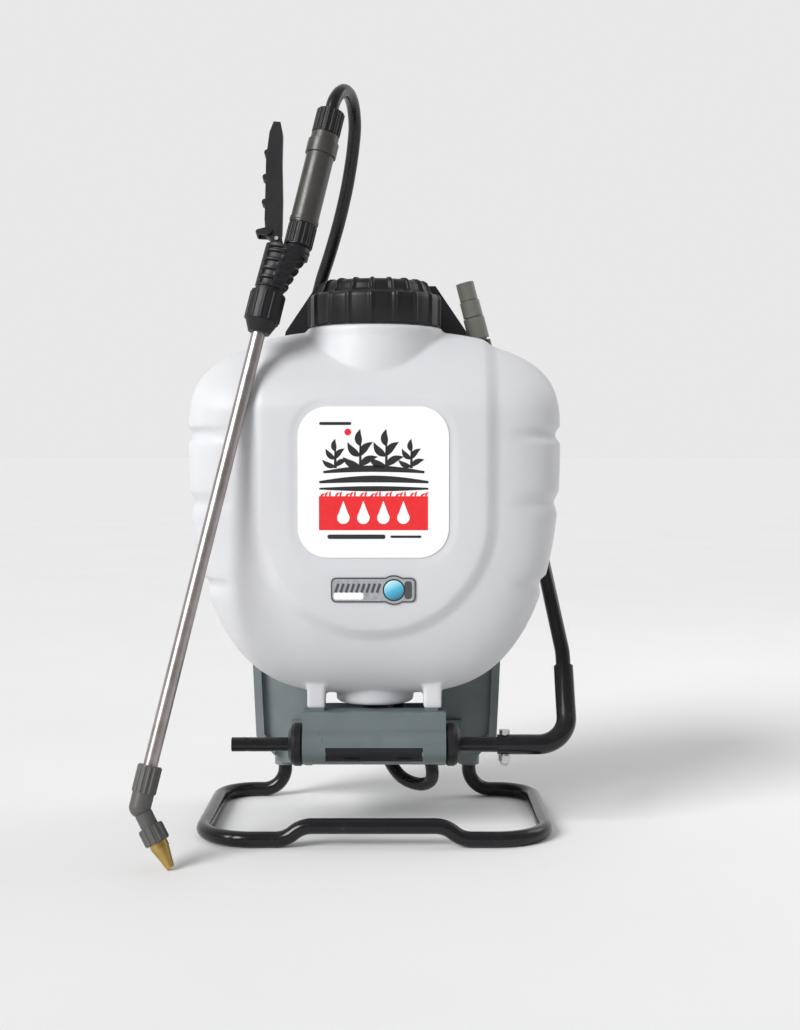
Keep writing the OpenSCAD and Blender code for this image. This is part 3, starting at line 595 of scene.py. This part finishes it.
def make_tank():
    steps = [math.radians(a) for a in np.linspace(3, 90, 64)]
    levels = [LOW + (BELLY - LOW) * (1 - math.cos(a)) for a in steps]
    levels += [TOP - (TOP - BELLY) * (1 - math.cos(a)) for a in steps[-2::-1]]
    columns = 360
    grid = skin_points(levels, columns)
    skin = [at(*p) for row in grid for p in row]
    faces = grid_faces(len(levels), columns)
    faces += end_faces(len(levels), columns)
    parts = [
        (skin, faces),
        lathe([(80, 470), (78, 488), (75, 504), (72.5, 516), (72, 524), (71, 527), (63, 527), (63, 550)]),
        lathe([(39.5, 133), (41, 134.5), (41, 153)]),
    ]
    for side in (-1, 1):
        parts.append(block(*sorted((side * 50.5, side * 70)), -53, -27, 132, 172, 0.5))
        parts.append(block(*sorted((side * 78, side * 106)), 74, 94, 430, 505))
    verts, faces = joined(parts)
    tank = new_object("tank_shell", verts, faces, "tank", None, None)
    fix_normals(tank)
    remesh = tank.modifiers.new("remesh", "REMESH")
    remesh.mode = "VOXEL"
    remesh.voxel_size = 0.0019
    smooth = tank.modifiers.new("smooth", "SMOOTH")
    smooth.factor = 0.5
    smooth.iterations = 5
    apply_modifiers(tank)
    cut(tank, [lathe([(57, 478), (57, 545.5), (60.3, 546.5), (60.3, 560)], 128)])
    finished(tank, "tank", "stand", "tank")


make_tank()

# ---------------------------------------------------------------- label and badge


def stroke(centre, half, count=40, across=6):
    """A strip drawn on the tank's front: its centre line and half width, in millimetres."""
    rows = []
    for i in range(count + 1):
        u = i / count
        a, b = Vector(centre(max(0, u - 0.01))), Vector(centre(min(1, u + 0.01)))
        way = (b - a).normalized()
        normal = Vector((-way.y, way.x))
        middle = Vector(centre(u))
        rows.append([middle + normal * half(u) * (2 * k / across - 1) for k in range(across + 1)])
    return rows


def decal(name, strokes, look, lift, thick, node=None):
    """Thin closed films on the tank's front, all in one piece."""
    parts = []
    for i, rows in enumerate(strokes):
        n, m = len(rows), len(rows[0])
        high = lift + 0.05 * (i % 3)
        verts = [at(p.x, front_y(p.x, p.y) - h, p.y)
                 for h in (high, high - thick) for row in rows for p in row]
        faces = grid_faces(n, m, False)
        faces += [tuple(i + n * m for i in f)[::-1] for f in faces]
        rim = [k for k in range(m)] + [i * m + m - 1 for i in range(1, n)]
        rim += [(n - 1) * m + k for k in range(m - 2, -1, -1)] + [i * m for i in range(n - 2, 0, -1)]
        faces += [(a, b, b + n * m, a + n * m) for a, b in zip(rim, rim[1:] + rim[:1])]
        parts.append((verts, faces))
    verts, faces = joined(parts)
    obj = new_object(name, verts, faces, look, "stand", node)
    fix_normals(obj)
    return obj


def rounded_bar(x1, x2, z, half, r, count=48):
    """A rounded rectangle from x1 to x2 round height z."""
    def height(u):
        x = x1 + (x2 - x1) * u
        inset = max(0.0, r - (x - x1), r - (x2 - x))
        return half - r + math.sqrt(max(0.0, r * r - inset * inset))
    # more points at the round ends
    ease = lambda u: 0.5 - 0.5 * math.cos(math.pi * u)
    return stroke(lambda u: (x1 + (x2 - x1) * ease(u), z), lambda u: height(ease(u)), count)


def disc(x, z, r):
    return rounded_bar(x - r, x + r, z, r, r * 0.999, 24)


def leaf(x, z, length, angle, half):
    c, s = math.cos(math.radians(angle)), math.sin(math.radians(angle))
    bend = length * 0.12
    return stroke(lambda u: (x + length * u * c - bend * math.sin(math.pi * u) * s,
                             z + length * u * s + bend * math.sin(math.pi * u) * c),
                  lambda u: half * math.sin(math.pi * min(0.995, max(0.005, u)) ** 0.8), 20)


def furrow(x1, x2, z, rise, half):
    return stroke(lambda u: (x1 + (x2 - x1) * u, z + rise * math.sin(math.pi * u)),
                  lambda u: half * (0.35 + 0.65 * math.sin(math.pi * u)), 40)


def make_label():
    decal("label_base", [rounded_bar(-LABEL_HALF, LABEL_HALF, LABEL_Z, LABEL_HALF, LABEL_R, 80)],
          "label", 0.9, 1.2, "front_label")
    black = [furrow(-54, 55, 360.5, 0, 2.6), furrow(-54, 55, 367, 3.2, 3.4), furrow(-50, 51, 377, 3.5, 3.2)]
    for x, size in ((-38, 0.75), (-13, 1.0), (13, 1.0), (38, 0.75)):
        black.append(stroke(lambda u, x=x, s=size: (x, 381 + 27 * s * u), lambda u: 1.5 - 0.7 * u, 10))
        for angle, height, length in ((28, 2, 20), (152, 2, 20), (48, 12, 19), (132, 12, 19), (90, 22, 17)):
            black.append(leaf(x, 381 + height * size, length * size, angle, 3.6 * size))
    black.append(rounded_bar(-54, -22, 425.5, 1.5, 1.4))
    black.append(rounded_bar(-46, 12, 312.5, 2.2, 2.0))
    black.append(rounded_bar(17, 48, 312.5, 1.2, 1.1))
    decal("label_black_print", black, "ink_black", 1.05, 0.3)
    red = [stroke(lambda u: (-54.4 + 109 * u, 336), lambda u: 17.0, 30, 10), disc(-25.5, 417, 3.4)]
    for i in range(22):
        red.append(leaf(-53 + 5.0 * i, 352, 6.5, 35 + 50 * ((i * 7) % 5) / 4, 1.0))
    decal("label_red_print", red, "ink_red", 1.05, 0.3)
    white = []
    for x in (-30, -10, 10, 30):
        white.append(disc(x, 331.5, 6.2))
        white.append(stroke(lambda u, x=x: (x, 333 + 15 * u), lambda u: 5.6 * (1 - u) + 0.15, 12))
    decal("label_white_print", white, "ink_white", 1.35, 0.3)


def make_badge():
    left, right = -42.5, 42.5
    decal("badge_rim", [rounded_bar(left, right, BADGE_Z, 12.5, 5, 60), disc(20.5, BADGE_Z, 15)],
          "ink_grey", 1.1, 1.4, "pump_badge")
    face = [rounded_bar(left + 1.4, right - 1.4, BADGE_Z, 11.1, 4, 60), disc(20.5, BADGE_Z, 13.6)]
    decal("badge_face", face, "silver", 1.35, 0.5)
    decal("badge_white", [rounded_bar(left + 2.6, -10, BADGE_Z - 6, 3.6, 2.5, 30)], "ink_white", 1.5, 0.3)
    marks = [stroke(lambda u, i=i: (-38 + 5.2 * i + 3 * u, 256.5 + 9 * u), lambda u: 1.3, 8)
             for i in range(9)]
    marks += [rounded_bar(31, 38.5, BADGE_Z, 9, 3, 24)]
    decal("badge_marks", marks, "ink_grey", 1.5, 0.3)
    decal("badge_ring", [disc(20.5, BADGE_Z, 11.3)], "ink_black", 1.5, 0.3)
    decal("badge_ball", [disc(20.5, BADGE_Z, 9.8)], "droplet", 1.65, 0.3)


make_label()
make_badge()

# ---------------------------------------------------------------- lid

LID_RIBS = 18
LID_TURN = 0.4


def make_lid():
    """Turned cap with rounded shoulders; each rib follows the profile from the rim to the crown."""
    outside = [(66.0, 528.8, 0), (68.0, 528.9, 0.3), (68.6, 530.0, 1), (68.8, 544, 1), (69.0, 556, 1),
               (68.4, 559.5, 1), (66.5, 561.5, 1), (63.5, 562.3, 1), (60.5, 562.5, 1), (58.6, 563.4, 1),
               (57.2, 566.0, 1), (56.0, 570.0, 1), (54.0, 573.4, 1), (50.5, 575.4, 1), (46, 576.0, 0.9),
               (42.5, 575.6, 0.4), (41.0, 574.2, 0), (40.0, 572.0, 0), (38, 571.2, 0), (20, 571.0, 0)]
    columns = LID_RIBS * 20
    verts = []
    for r, z, rib in outside:
        for k in range(columns):
            turn = 360 * k / columns
            phase = (turn / 360 * LID_RIBS - LID_TURN) % 1.0
            arc_mm = min(phase, 1 - phase) * 2 * math.pi * r / LID_RIBS
            bump = rib * 2.2 * math.exp(-(arc_mm / 2.1) ** 4)
            a = math.radians(turn)
            verts.append(at((r + bump) * math.cos(a), (r + bump) * math.sin(a), z + bump * 0.6 * (r < 60)))
    rows = len(outside)
    faces = grid_faces(rows, columns)
    inside = [(64.0, 528.8), (64.0, 552.5), (40, 552.8), (20, 552.8)]
    for r, z in inside:
        verts += [at(r * math.cos(2 * math.pi * k / columns), r * math.sin(2 * math.pi * k / columns), z)
                  for k in range(columns)]
    base = rows * columns
    faces += [tuple(base + i for i in f)[::-1] for f in grid_faces(len(inside), columns)]
    faces += [(k, base + k, base + (k + 1) % columns, (k + 1) % columns) for k in range(columns)]
    faces.append(tuple((rows - 1) * columns + k for k in range(columns)))
    faces.append(tuple(base + (len(inside) - 1) * columns + k for k in range(columns))[::-1])
    lid = new_object("screw_lid", verts, faces, "lid", "lid", "lid")
    fix_normals(lid)
    lid.data.set_sharp_from_angle(angle=math.radians(50))


make_lid()

# ---------------------------------------------------------------- base frame

TUBE_R = 7.95
EAST, NORTH, UP = (1, 0, 0), (0, 1, 0), (0, 0, 1)


def make_base_frame():
    step_r, rise, step_x, front, rear = 28.8, 13.5, 62.0, -102.0, 128.0
    swing = math.degrees(math.acos(1 - rise / step_r / 2))
    flat_x = step_x + 2 * step_r * math.sin(math.radians(swing))
    half = [Vector((106, rear, 112)), Vector((106, rear, 70))]
    half += arc((131, rear, TUBE_R + 25), EAST, UP, 25, 180, 270, 14)
    half += arc((137, rear - 40, TUBE_R), EAST, NORTH, 40, 90, 0, 18)
    half += arc((122, front + 55, TUBE_R), EAST, NORTH, 55, 0, -90, 22)
    half += arc((flat_x, front, TUBE_R + step_r), EAST, UP, step_r, 270, 270 - swing, 8)
    half += arc((step_x, front, TUBE_R + rise - step_r), EAST, UP, step_r, 90 - swing, 90, 8)[1:]
    other = [Vector((-p.x, p.y, p.z)) for p in reversed(half)]
    path = [at(*p) for p in half + other]
    verts, faces = sweep(path, ring_outline(TUBE_R * MM, 28))
    frame_tube = new_object("base_tube", verts, faces, "paint", "stand", "base_frame")
    fix_normals(frame_tube)


make_base_frame()

# ---------------------------------------------------------------- refined CAD parts

REFINED = {
    "carry_handle": ("black", 2.0), "hose_guide": ("black", 0.8), "nozzle_holder": ("black", 0.8),
    "base_housing": ("housing", 1.3), "housing_cover": ("black", 0.6), "back_panel": ("panel", 1.4),
    "shaft_bush_left": ("black", 1.6), "shaft_bush_right": ("black", 1.6), "lever_elbow": ("paint", 0.6),
    "pump_shaft": ("paint", 0.5), "lever_grip": ("lever_grip", 1.0), "strap_buckles": ("black", 0.6),
    "spare_nozzle": ("spare", 0.8), "grip_handle": ("grip", 0.5),
    "grip_nut": ("black", 0.4), "tail_nut": ("black", 0.4), "wand_nut": ("black", 0.4),
    "trigger": ("black", 1.0), "trigger_lock": ("black", 0.4), "nozzle_elbow": ("nozzle", 0.4),
    "nozzle_nut": ("nozzle", 0.4), "crank_arm": ("zinc", 0.6), "pump_rod": ("zinc", 0.6),
}
KEPT = {
    "strainer_basket": "white", "handle_screws": "steel", "base_screws": "steel", "pump_cylinder": "white",
    "pressure_chamber": "white", "rod_seal": "rubber", "outlet_valve": "brass", "outlet_pipe": "black",
    "hose_clamp": "steel", "lid_gasket": "rubber", "lid_vent": "lid", "crank_pin": "steel",
    "lever_arm": "paint", "lever_bolt": "steel", "lever_nut": "steel", "piston": "white",
    "piston_seal": "rubber", "inlet_valve": "rubber", "rod_guide": "white", "wand_tube": "wand",
    "trigger_pin": "steel", "valve_stem": "brass", "valve_spring": "steel", "nozzle_tip": "brass",
}


def refine(node, look, width):
    """A copy of a CAD node with its edges rounded, shown in the node's place."""
    obj = bpy.data.objects.new(node + "_moulded", frame["nodes"][node].data.copy())
    bpy.context.collection.objects.link(obj)
    bm = bmesh.new()
    bm.from_mesh(obj.data)
    bmesh.ops.remove_doubles(bm, verts=bm.verts, dist=1e-5)
    bmesh.ops.dissolve_limit(bm, angle_limit=math.radians(0.6), verts=bm.verts, edges=bm.edges)
    bm.to_mesh(obj.data)
    bm.free()
    finished(obj, look, BODY_OF[node], node)
    bevel = obj.modifiers.new("bevel", "BEVEL")
    bevel.width = width * MM
    bevel.segments = 2
    bevel.limit_method = "ANGLE"
    bevel.angle_limit = math.radians(38)
    bevel.harden_normals = True
    return obj


for name, (look, width) in REFINED.items():
    refine(name, look, width)
for name, look in KEPT.items():
    node = frame["nodes"][name]
    node.data.materials.clear()
    node.data.materials.append(MATERIALS[look])
    node.data.shade_smooth()
    node.data.set_sharp_from_angle(angle=math.radians(32))

# ---------------------------------------------------------------- hand valve

WAND_AT, WAND_TILT, WAND_BACK = Vector((-222, -174, 58)), math.radians(12.8), math.radians(11.45)
GRIP_OFFSET = 17.5
RUNG_PITCH, RUNG_WIDTH, POCKET_DEPTH = 9.4, 3.2, 2.6
RIB_PITCH, RIB_WIDTH, RIB_DEPTH = 8.0, 3.6, 1.5


def wand_at(x, y, z):
    """A point given in millimetres along the wand, whose own frame starts at the nozzle."""
    across = x * math.cos(WAND_TILT) + z * math.sin(WAND_TILT)
    along = z * math.cos(WAND_TILT) - x * math.sin(WAND_TILT)
    return at(WAND_AT.x + across, WAND_AT.y + y * math.cos(WAND_BACK) + along * math.sin(WAND_BACK),
              WAND_AT.z + along * math.cos(WAND_BACK) - y * math.sin(WAND_BACK))


def bump_train(t, pitch, width, edge):
    """One on the ribs of a row that repeats every pitch, falling to nought between them."""
    away = abs((t / pitch) % 1.0 - 0.5) * pitch
    return clamp((width / 2 - away) / edge + 0.5)


def make_valve_body():
    """Tapered housing with a ladder of pockets in front and slanting ribs on its far side."""
    low, high, columns, rows = 522.3, 572.0, 144, 84
    verts = []
    for i in range(rows):
        z = low + (high - low) * i / (rows - 1)
        u = (z - low) / (high - low)
        left, right, half = -15.2 + 1.0 * u, 15.6 + 16.0 * u ** 1.15, 14.4 + 0.8 * u
        collar = clamp((z - 526) / 0.8)
        for k in range(columns):
            a = 2 * math.pi * k / columns
            c, n = math.cos(a), math.sin(a)
            x = (left + right) / 2 + (right - left) / 2 * math.copysign(abs(c) ** 0.85, c)
            y = half * math.copysign(abs(n) ** 0.85, n)
            rail = clamp((x + 10.5) / 1.2) * clamp((3.5 + 4 * u - x) / 1.2)
            rung = bump_train(z - 527 + RUNG_PITCH / 2, RUNG_PITCH, RUNG_WIDTH, 1.0)
            ladder = clamp(z - 528) * clamp(569 - z) * (abs(n) > 0.3)
            pocket = POCKET_DEPTH * rail * (1 - rung) * ladder
            slant = bump_train(z - 0.45 * x, RIB_PITCH, RIB_WIDTH, 1.4)
            rib = RIB_DEPTH * clamp((x - 5 - 4 * u) / 3) * (slant - 1)
            grow = (rib - pocket - 1.2 * (1 - collar)) / math.hypot(x, y)
            verts.append(wand_at(x * (1 + grow), y * (1 + grow), z))
    parts = [(verts, grid_faces(rows, columns) + end_faces(rows, columns))]
    neck, sides = [(13.2, 564), (13.2, 574.6), (12.4, 576)], 36
    turns = [math.radians(10 * k) for k in range(sides)]
    parts.append(([wand_at(GRIP_OFFSET + r * math.cos(a), r * math.sin(a), z) for r, z in neck for a in turns],
                  grid_faces(len(neck), sides) + end_faces(len(neck), sides)))
    for y in (-10.8, 6.7):
        rim = [(-8.8, 568), (1.4, 568), (1.4, 577)]
        rim += [(-3.7 + 5.1 * math.cos(math.radians(a)), 577 + 5.1 * math.sin(math.radians(a)))
                for a in range(20, 180, 20)] + [(-8.8, 577)]
        n = len(rim)
        parts.append(([wand_at(x, y + d, z) for d in (0, 4.1) for x, z in rim],
                      grid_faces(2, n) + end_faces(2, n)))
    verts, faces = joined(parts)
    body = new_object("valve_housing", verts, faces, "black", BODY_OF["valve_body"], "valve_body")
    fix_normals(body)


make_valve_body()

# ---------------------------------------------------------------- straps and pads

PAD_ROUTE = [(58, 101, 497), (60, 114, 501), (63, 132, 493), (68, 145, 470), (74, 152, 435),
             (80, 152, 395), (86, 147, 350), (92, 140, 305)]
WEB_ROUTE = [(92, 140, 300), (97, 136, 255), (103, 131, 215), (110, 126, 180), (117, 121, 145),
             (122, 116, 122)]
ACROSS = Vector((1, 0, 0))


def strap_points(route, side, steps):
    return spline([at(side * x, y, z) for x, y, z in route], steps)


def strap_normals(path):
    """The direction out of the strap's outer face at each point."""
    ways = [path[min(i + 1, len(path) - 1)] - path[max(i - 1, 0)] for i in range(len(path))]
    normals = [w.cross(ACROSS).normalized() for w in ways]
    return [n if n.y > -0.2 else -n for n in normals]


def strap_mesh(path, outline):
    """A flat strap swept along a path with its width along X; outline(t) gives (width, height) offsets."""
    normals = strap_normals(path)
    verts = []
    for i, (point, normal) in enumerate(zip(path, normals)):
        verts += [point + ACROSS * a + normal * b for a, b in outline(i / (len(path) - 1))]
    n = len(outline(0.5))
    faces = grid_faces(len(path), n)
    faces += [tuple(range(n))[::-1], tuple((len(path) - 1) * n + k for k in range(n))]
    return verts, faces


def tape_outline(width, thick):
    w, h = width / 2 * MM, thick / 2 * MM
    corners = [(-1, -0.4), (-0.95, -1), (-0.6, -0.86), (0.6, -0.86), (0.95, -1), (1, -0.4), (1, 0.4),
               (0.95, 1), (0.6, 0.86), (-0.6, 0.86), (-0.95, 1), (-1, 0.4)]
    return lambda t: [(w * a, h * b) for a, b in corners]


def swell(obj, voxel, pressure, cap):
    """Fills a pad by a short cloth simulation with inner pressure, and keeps the result."""
    remesh = obj.modifiers.new("remesh", "REMESH")
    remesh.mode = "VOXEL"
    remesh.voxel_size = voxel
    apply_modifiers(obj)
    before = np.array([v.co for v in obj.data.vertices])
    cloth = obj.modifiers.new("cloth", "CLOTH")
    cloth.settings.use_pressure = True
    cloth.settings.uniform_pressure_force = pressure
    cloth.settings.effector_weights.gravity = 0
    cloth.settings.quality = 5
    scene = bpy.context.scene
    for step in range(1, 21):
        scene.frame_set(step)
    apply_modifiers(obj)
    after = np.array([v.co for v in obj.data.vertices])
    move = after - before
    far = np.linalg.norm(move, axis=1, keepdims=True)
    after = before + move * np.minimum(1, cap / np.maximum(far, 1e-9))
    obj.data.vertices.foreach_set("co", after.ravel())
    obj.data.update()
    scene.frame_set(1)
    finer = obj.modifiers.new("finer", "SUBSURF")
    finer.levels = finer.render_levels = 1
    apply_modifiers(obj)


def move_points(obj, shift):
    """Moves each point of a piece by shift(points), given and returned as arrays."""
    points = np.array([v.co for v in obj.data.vertices])
    points += shift(points)
    obj.data.vertices.foreach_set("co", points.ravel())
    obj.data.update()


PAD_HALF = 27.0
PAD_THICK = 9.0
SEAM_IN = 5.5
SEAM_DEEP = 1.5


def pad_half(t):
    """Half width along a shoulder pad: narrower at the top, with round ends."""
    end = min(t, 1 - t) / 0.09
    return (PAD_HALF - 3.5 * (1 - t) ** 2) * (1 if end > 1 else math.sqrt(max(0.03, 1 - (1 - end) ** 2)))


def pad_outline(t):
    half, thick = pad_half(t), PAD_THICK / 2 * (0.5 + 0.5 * clamp(min(t, 1 - t) / 0.05))
    out = []
    for k in range(28):
        a = 2 * math.pi * k / 28
        c, s = math.cos(a), math.sin(a)
        out.append((half * math.copysign(abs(c) ** 0.7, c) * MM,
                    thick * math.copysign(abs(s) ** 0.6, s) * MM))
    return out


def stitches(name, runs, body, length=3.0, gap=1.6, radius=0.38):
    """Short raised threads along runs of points."""
    parts = []
    for run in runs:
        travelled, previous = 0.0, run[0]
        step = (length + gap) * MM
        for a, b in zip(run, run[1:]):
            d = (b - a).length
            while travelled + d >= step:
                t = (step - travelled) / d
                start = a.lerp(b, t)
                way = (b - a).normalized()
                path = [start, start + way * length * 0.5 * MM, start + way * length * MM]
                scale = (0.5, 1.0, 0.5)
                parts.append(sweep(path, lambda i: [(radius * scale[i] * math.cos(q) * MM,
                                                     radius * scale[i] * math.sin(q) * MM)
                                                    for q in (0, 1.26, 2.51, 3.77, 5.03)]))
                travelled, a = 0.0, start
                d = (b - a).length
            travelled += d
    verts, faces = joined(parts)
    obj = new_object(name, verts, faces, "thread", body, None)
    fix_normals(obj)
    return obj


def surface_point(obj, point, direction):
    """Where a ray from outside meets a piece's surface, or the point itself."""
    start = point + direction * 0.05
    hit, place, normal, index = obj.ray_cast(start, -direction)
    return place if hit else point


def make_shoulder_pad(name, side):
    path = strap_points(PAD_ROUTE, side, 8)
    normals = strap_normals(path)
    verts, faces = strap_mesh(path, pad_outline)
    pad = new_object(name + "_padding", verts, faces, "pad", None, None)
    fix_normals(pad)
    swell(pad, 0.003, 3.0, 0.0018)
    places, outs = np.array(path), np.array(normals)
    halves = np.array([pad_half(i / (len(path) - 1)) for i in range(len(path))]) * MM

    def press(points):
        near = np.linalg.norm(points[:, None] - places[None], axis=2).argmin(1)
        rel = points - places[near]
        height = (rel * outs[near]).sum(1)
        off = np.abs(np.abs(rel[:, 0]) - (halves[near] - SEAM_IN * MM))
        depth = SEAM_DEEP * MM * np.exp(-(off / (1.7 * MM)) ** 2) * np.sign(height)
        return -outs[near] * depth[:, None]

    move_points(pad, press)
    finished(pad, "pad", "stand", name)
    runs = []
    bpy.context.view_layer.update()
    for edge in (-1, 1):
        run = [surface_point(pad, p + ACROSS * edge * (pad_half(i / (len(path) - 1)) - SEAM_IN) * MM, n)
               for i, (p, n) in enumerate(zip(path, normals)) if 2 < i < len(path) - 3]
        runs.append(run)
    stitches(name + "_stitches", runs, "stand")
    tape_path = [surface_point(pad, p, n) + n * 0.0009 for p, n in zip(path, normals)][1:]
    verts, faces = strap_mesh(tape_path, tape_outline(25, 1.6))
    tape = new_object(name + "_tape", verts, faces, "webbing", "stand", None)
    fix_normals(tape)


def make_webbing(name, side):
    """The lower strap, its loose tail below the buckle and the fold at the panel's bracket."""
    path = strap_points(WEB_ROUTE, side, 8)
    parts = [strap_mesh(path, tape_outline(25, 1.8))]
    tail = spline([at(side * x, y, z) for x, y, z in
                   [(96, 144.2, 268), (98, 143.4, 250), (100, 142.5, 228), (101, 143.5, 205), (103, 146.5, 184),
                    (104, 148, 170)]], 6)
    parts.append(strap_mesh(tail, tape_outline(25, 1.8)))
    hem = [tail[-1] + Vector((0, 0.0016, 0.014)), tail[-1] + Vector((0, 0.0022, 0.007)),
           tail[-1] + Vector((0, 0.0012, -0.0005))]
    parts.append(strap_mesh(hem, tape_outline(25, 1.6)))
    verts, faces = joined(parts)
    web = new_object(name + "_tape", verts, faces, "webbing", "stand", name)
    fix_normals(web)


def make_lumbar_pad():
    low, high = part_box("lumbar_pad")
    centre, size = (low + high) / 2, high - low
    half_x, half_z, r = size.x / 2 - 0.003, size.z / 2 - 0.003, 0.024
    rim = []
    for cx, cz, start in ((1, 1, 0), (-1, 1, 90), (-1, -1, 180), (1, -1, 270)):
        for k in range(9):
            a = math.radians(start + 90 * k / 8)
            rim.append(((half_x - r) * cx + r * math.cos(a), (half_z - r) * cz + r * math.sin(a)))
    layers = [(-0.0085, 0.9), (-0.0065, 0.975), (-0.003, 1.0), (0.003, 1.0), (0.0065, 0.975), (0.0085, 0.9)]
    verts = [centre + Vector((x * k, y, z * k)) for y, k in layers for x, z in rim]
    n = len(rim)
    faces = grid_faces(len(layers), n) + end_faces(len(layers), n)
    pad = new_object("lumbar_padding", verts, faces, "pad", None, None)
    fix_normals(pad)
    swell(pad, 0.0038, 4.0, 0.0045)
    channels = (-0.033, 0.033)

    def press(points):
        rel = points - np.array(centre)
        dx, dz = np.abs(rel[:, 0]) - half_x + r, np.abs(rel[:, 2]) - half_z + r
        edge = np.hypot(np.maximum(dx, 0), np.maximum(dz, 0)) + np.minimum(np.maximum(dx, dz), 0) - r
        depth = 0.0022 * np.exp(-((edge + 0.009) / 0.0022) ** 2)
        for x in channels:
            inside = np.clip((-edge - 0.009) / 0.004, 0, 1)
            depth += 0.0045 * inside * np.exp(-((rel[:, 0] - x) / 0.0032) ** 2)
        out = np.zeros_like(points)
        out[:, 1] = -np.sign(rel[:, 1]) * depth
        return out

    move_points(pad, press)
    finished(pad, "pad", "stand", "lumbar_pad")
    bpy.context.view_layer.update()
    outward = Vector((0, 1, 0))
    loops = [[centre + Vector((x * (half_x - 0.009) / half_x, 0.012, z * (half_z - 0.009) / half_z))
              for x, z in rim + rim[:1]]]
    fine = [[a.lerp(b, k / 6) for a, b in zip(loops[0], loops[0][1:]) for k in range(6)]]
    for x in channels:
        fine.append([centre + Vector((x, 0.012, half_z * (1.6 * k / 30 - 0.8))) for k in range(31)])
    runs = [[surface_point(pad, p, outward) for p in run] for run in fine]
    stitches("lumbar_stitches", runs, "stand")
    piping_path = [centre + Vector((x * 1.012, 0.0, z * 1.02)) for x, z in rim + rim[:2]]
    verts, faces = sweep(piping_path, ring_outline(0.0021, 10), Vector((0, 1, 0)))
    piping = new_object("lumbar_piping", verts, faces, "binding", "stand", None)
    fix_normals(piping)


def make_anchor(name, side):
    """Plate that holds a shoulder pad's upper end to the tank."""
    plate = block(*sorted((side * 41, side * 75)), 90, 96, 484, 499)
    verts, faces = plate
    obj = new_object(name, verts, faces, "black", "stand", None)
    bevel = obj.modifiers.new("bevel", "BEVEL")
    bevel.width = 0.0016
    bevel.segments = 3


for end, side in (("left", -1), ("right", 1)):
    make_shoulder_pad("shoulder_pad_" + end, side)
    make_webbing("strap_webbing_" + end, side)
    make_anchor("strap_anchor_" + end, side)
make_lumbar_pad()

# ---------------------------------------------------------------- stage


def make_stage():
    size = 200.0
    mesh = bpy.data.meshes.new("floor")
    corners = [(-size, -size, 0), (size, -size, 0), (size, size, 0), (-size, size, 0)]
    mesh.from_pydata(corners, [], [(0, 1, 2, 3)])
    floor = bpy.data.objects.new("floor", mesh)
    bpy.context.collection.objects.link(floor)
    mesh.materials.append(floor_paper())
    bpy.context.scene.view_settings.view_transform = "Standard"
    make_world()
    add_light("key", "SUN", (-1450, -1400, 1600), 3.1, 0.5)
    add_light("rim", "AREA", (1500, 700, 1300), 5, 0.9)


def make_world():
    """Surroundings that are bright behind the object and dimmer in front of it."""
    world = bpy.data.worlds.new("studio")
    bpy.context.scene.world = world
    world.use_nodes = True
    nodes, links = world.node_tree.nodes, world.node_tree.links
    split = nodes.new("ShaderNodeSeparateXYZ")
    links.new(nodes.new("ShaderNodeTexCoord").outputs["Generated"], split.inputs[0])
    spread = nodes.new("ShaderNodeMapRange")
    for key, value in (("From Min", -0.4), ("From Max", 0.7), ("To Min", 0.3), ("To Max", 0.81)):
        spread.inputs[key].default_value = value
    links.new(split.outputs["Y"], spread.inputs["Value"])
    links.new(spread.outputs["Result"], nodes["Background"].inputs["Strength"])
    nodes["Background"].inputs["Color"].default_value = (1, 1, 1, 1)


def add_light(name, kind, place, power, size):
    """A soft light aimed at the middle of the tank; size is an angle for a sun, a width for an area."""
    data = bpy.data.lights.new(name, kind)
    data.energy = power
    if kind == "SUN":
        data.angle = size
    else:
        data.size = size
    light = bpy.data.objects.new(name, data)
    bpy.context.collection.objects.link(light)
    light.location = at(*place)
    light.rotation_euler = (at(0, 0, 350) - light.location).to_track_quat("-Z", "Y").to_euler()


make_stage()
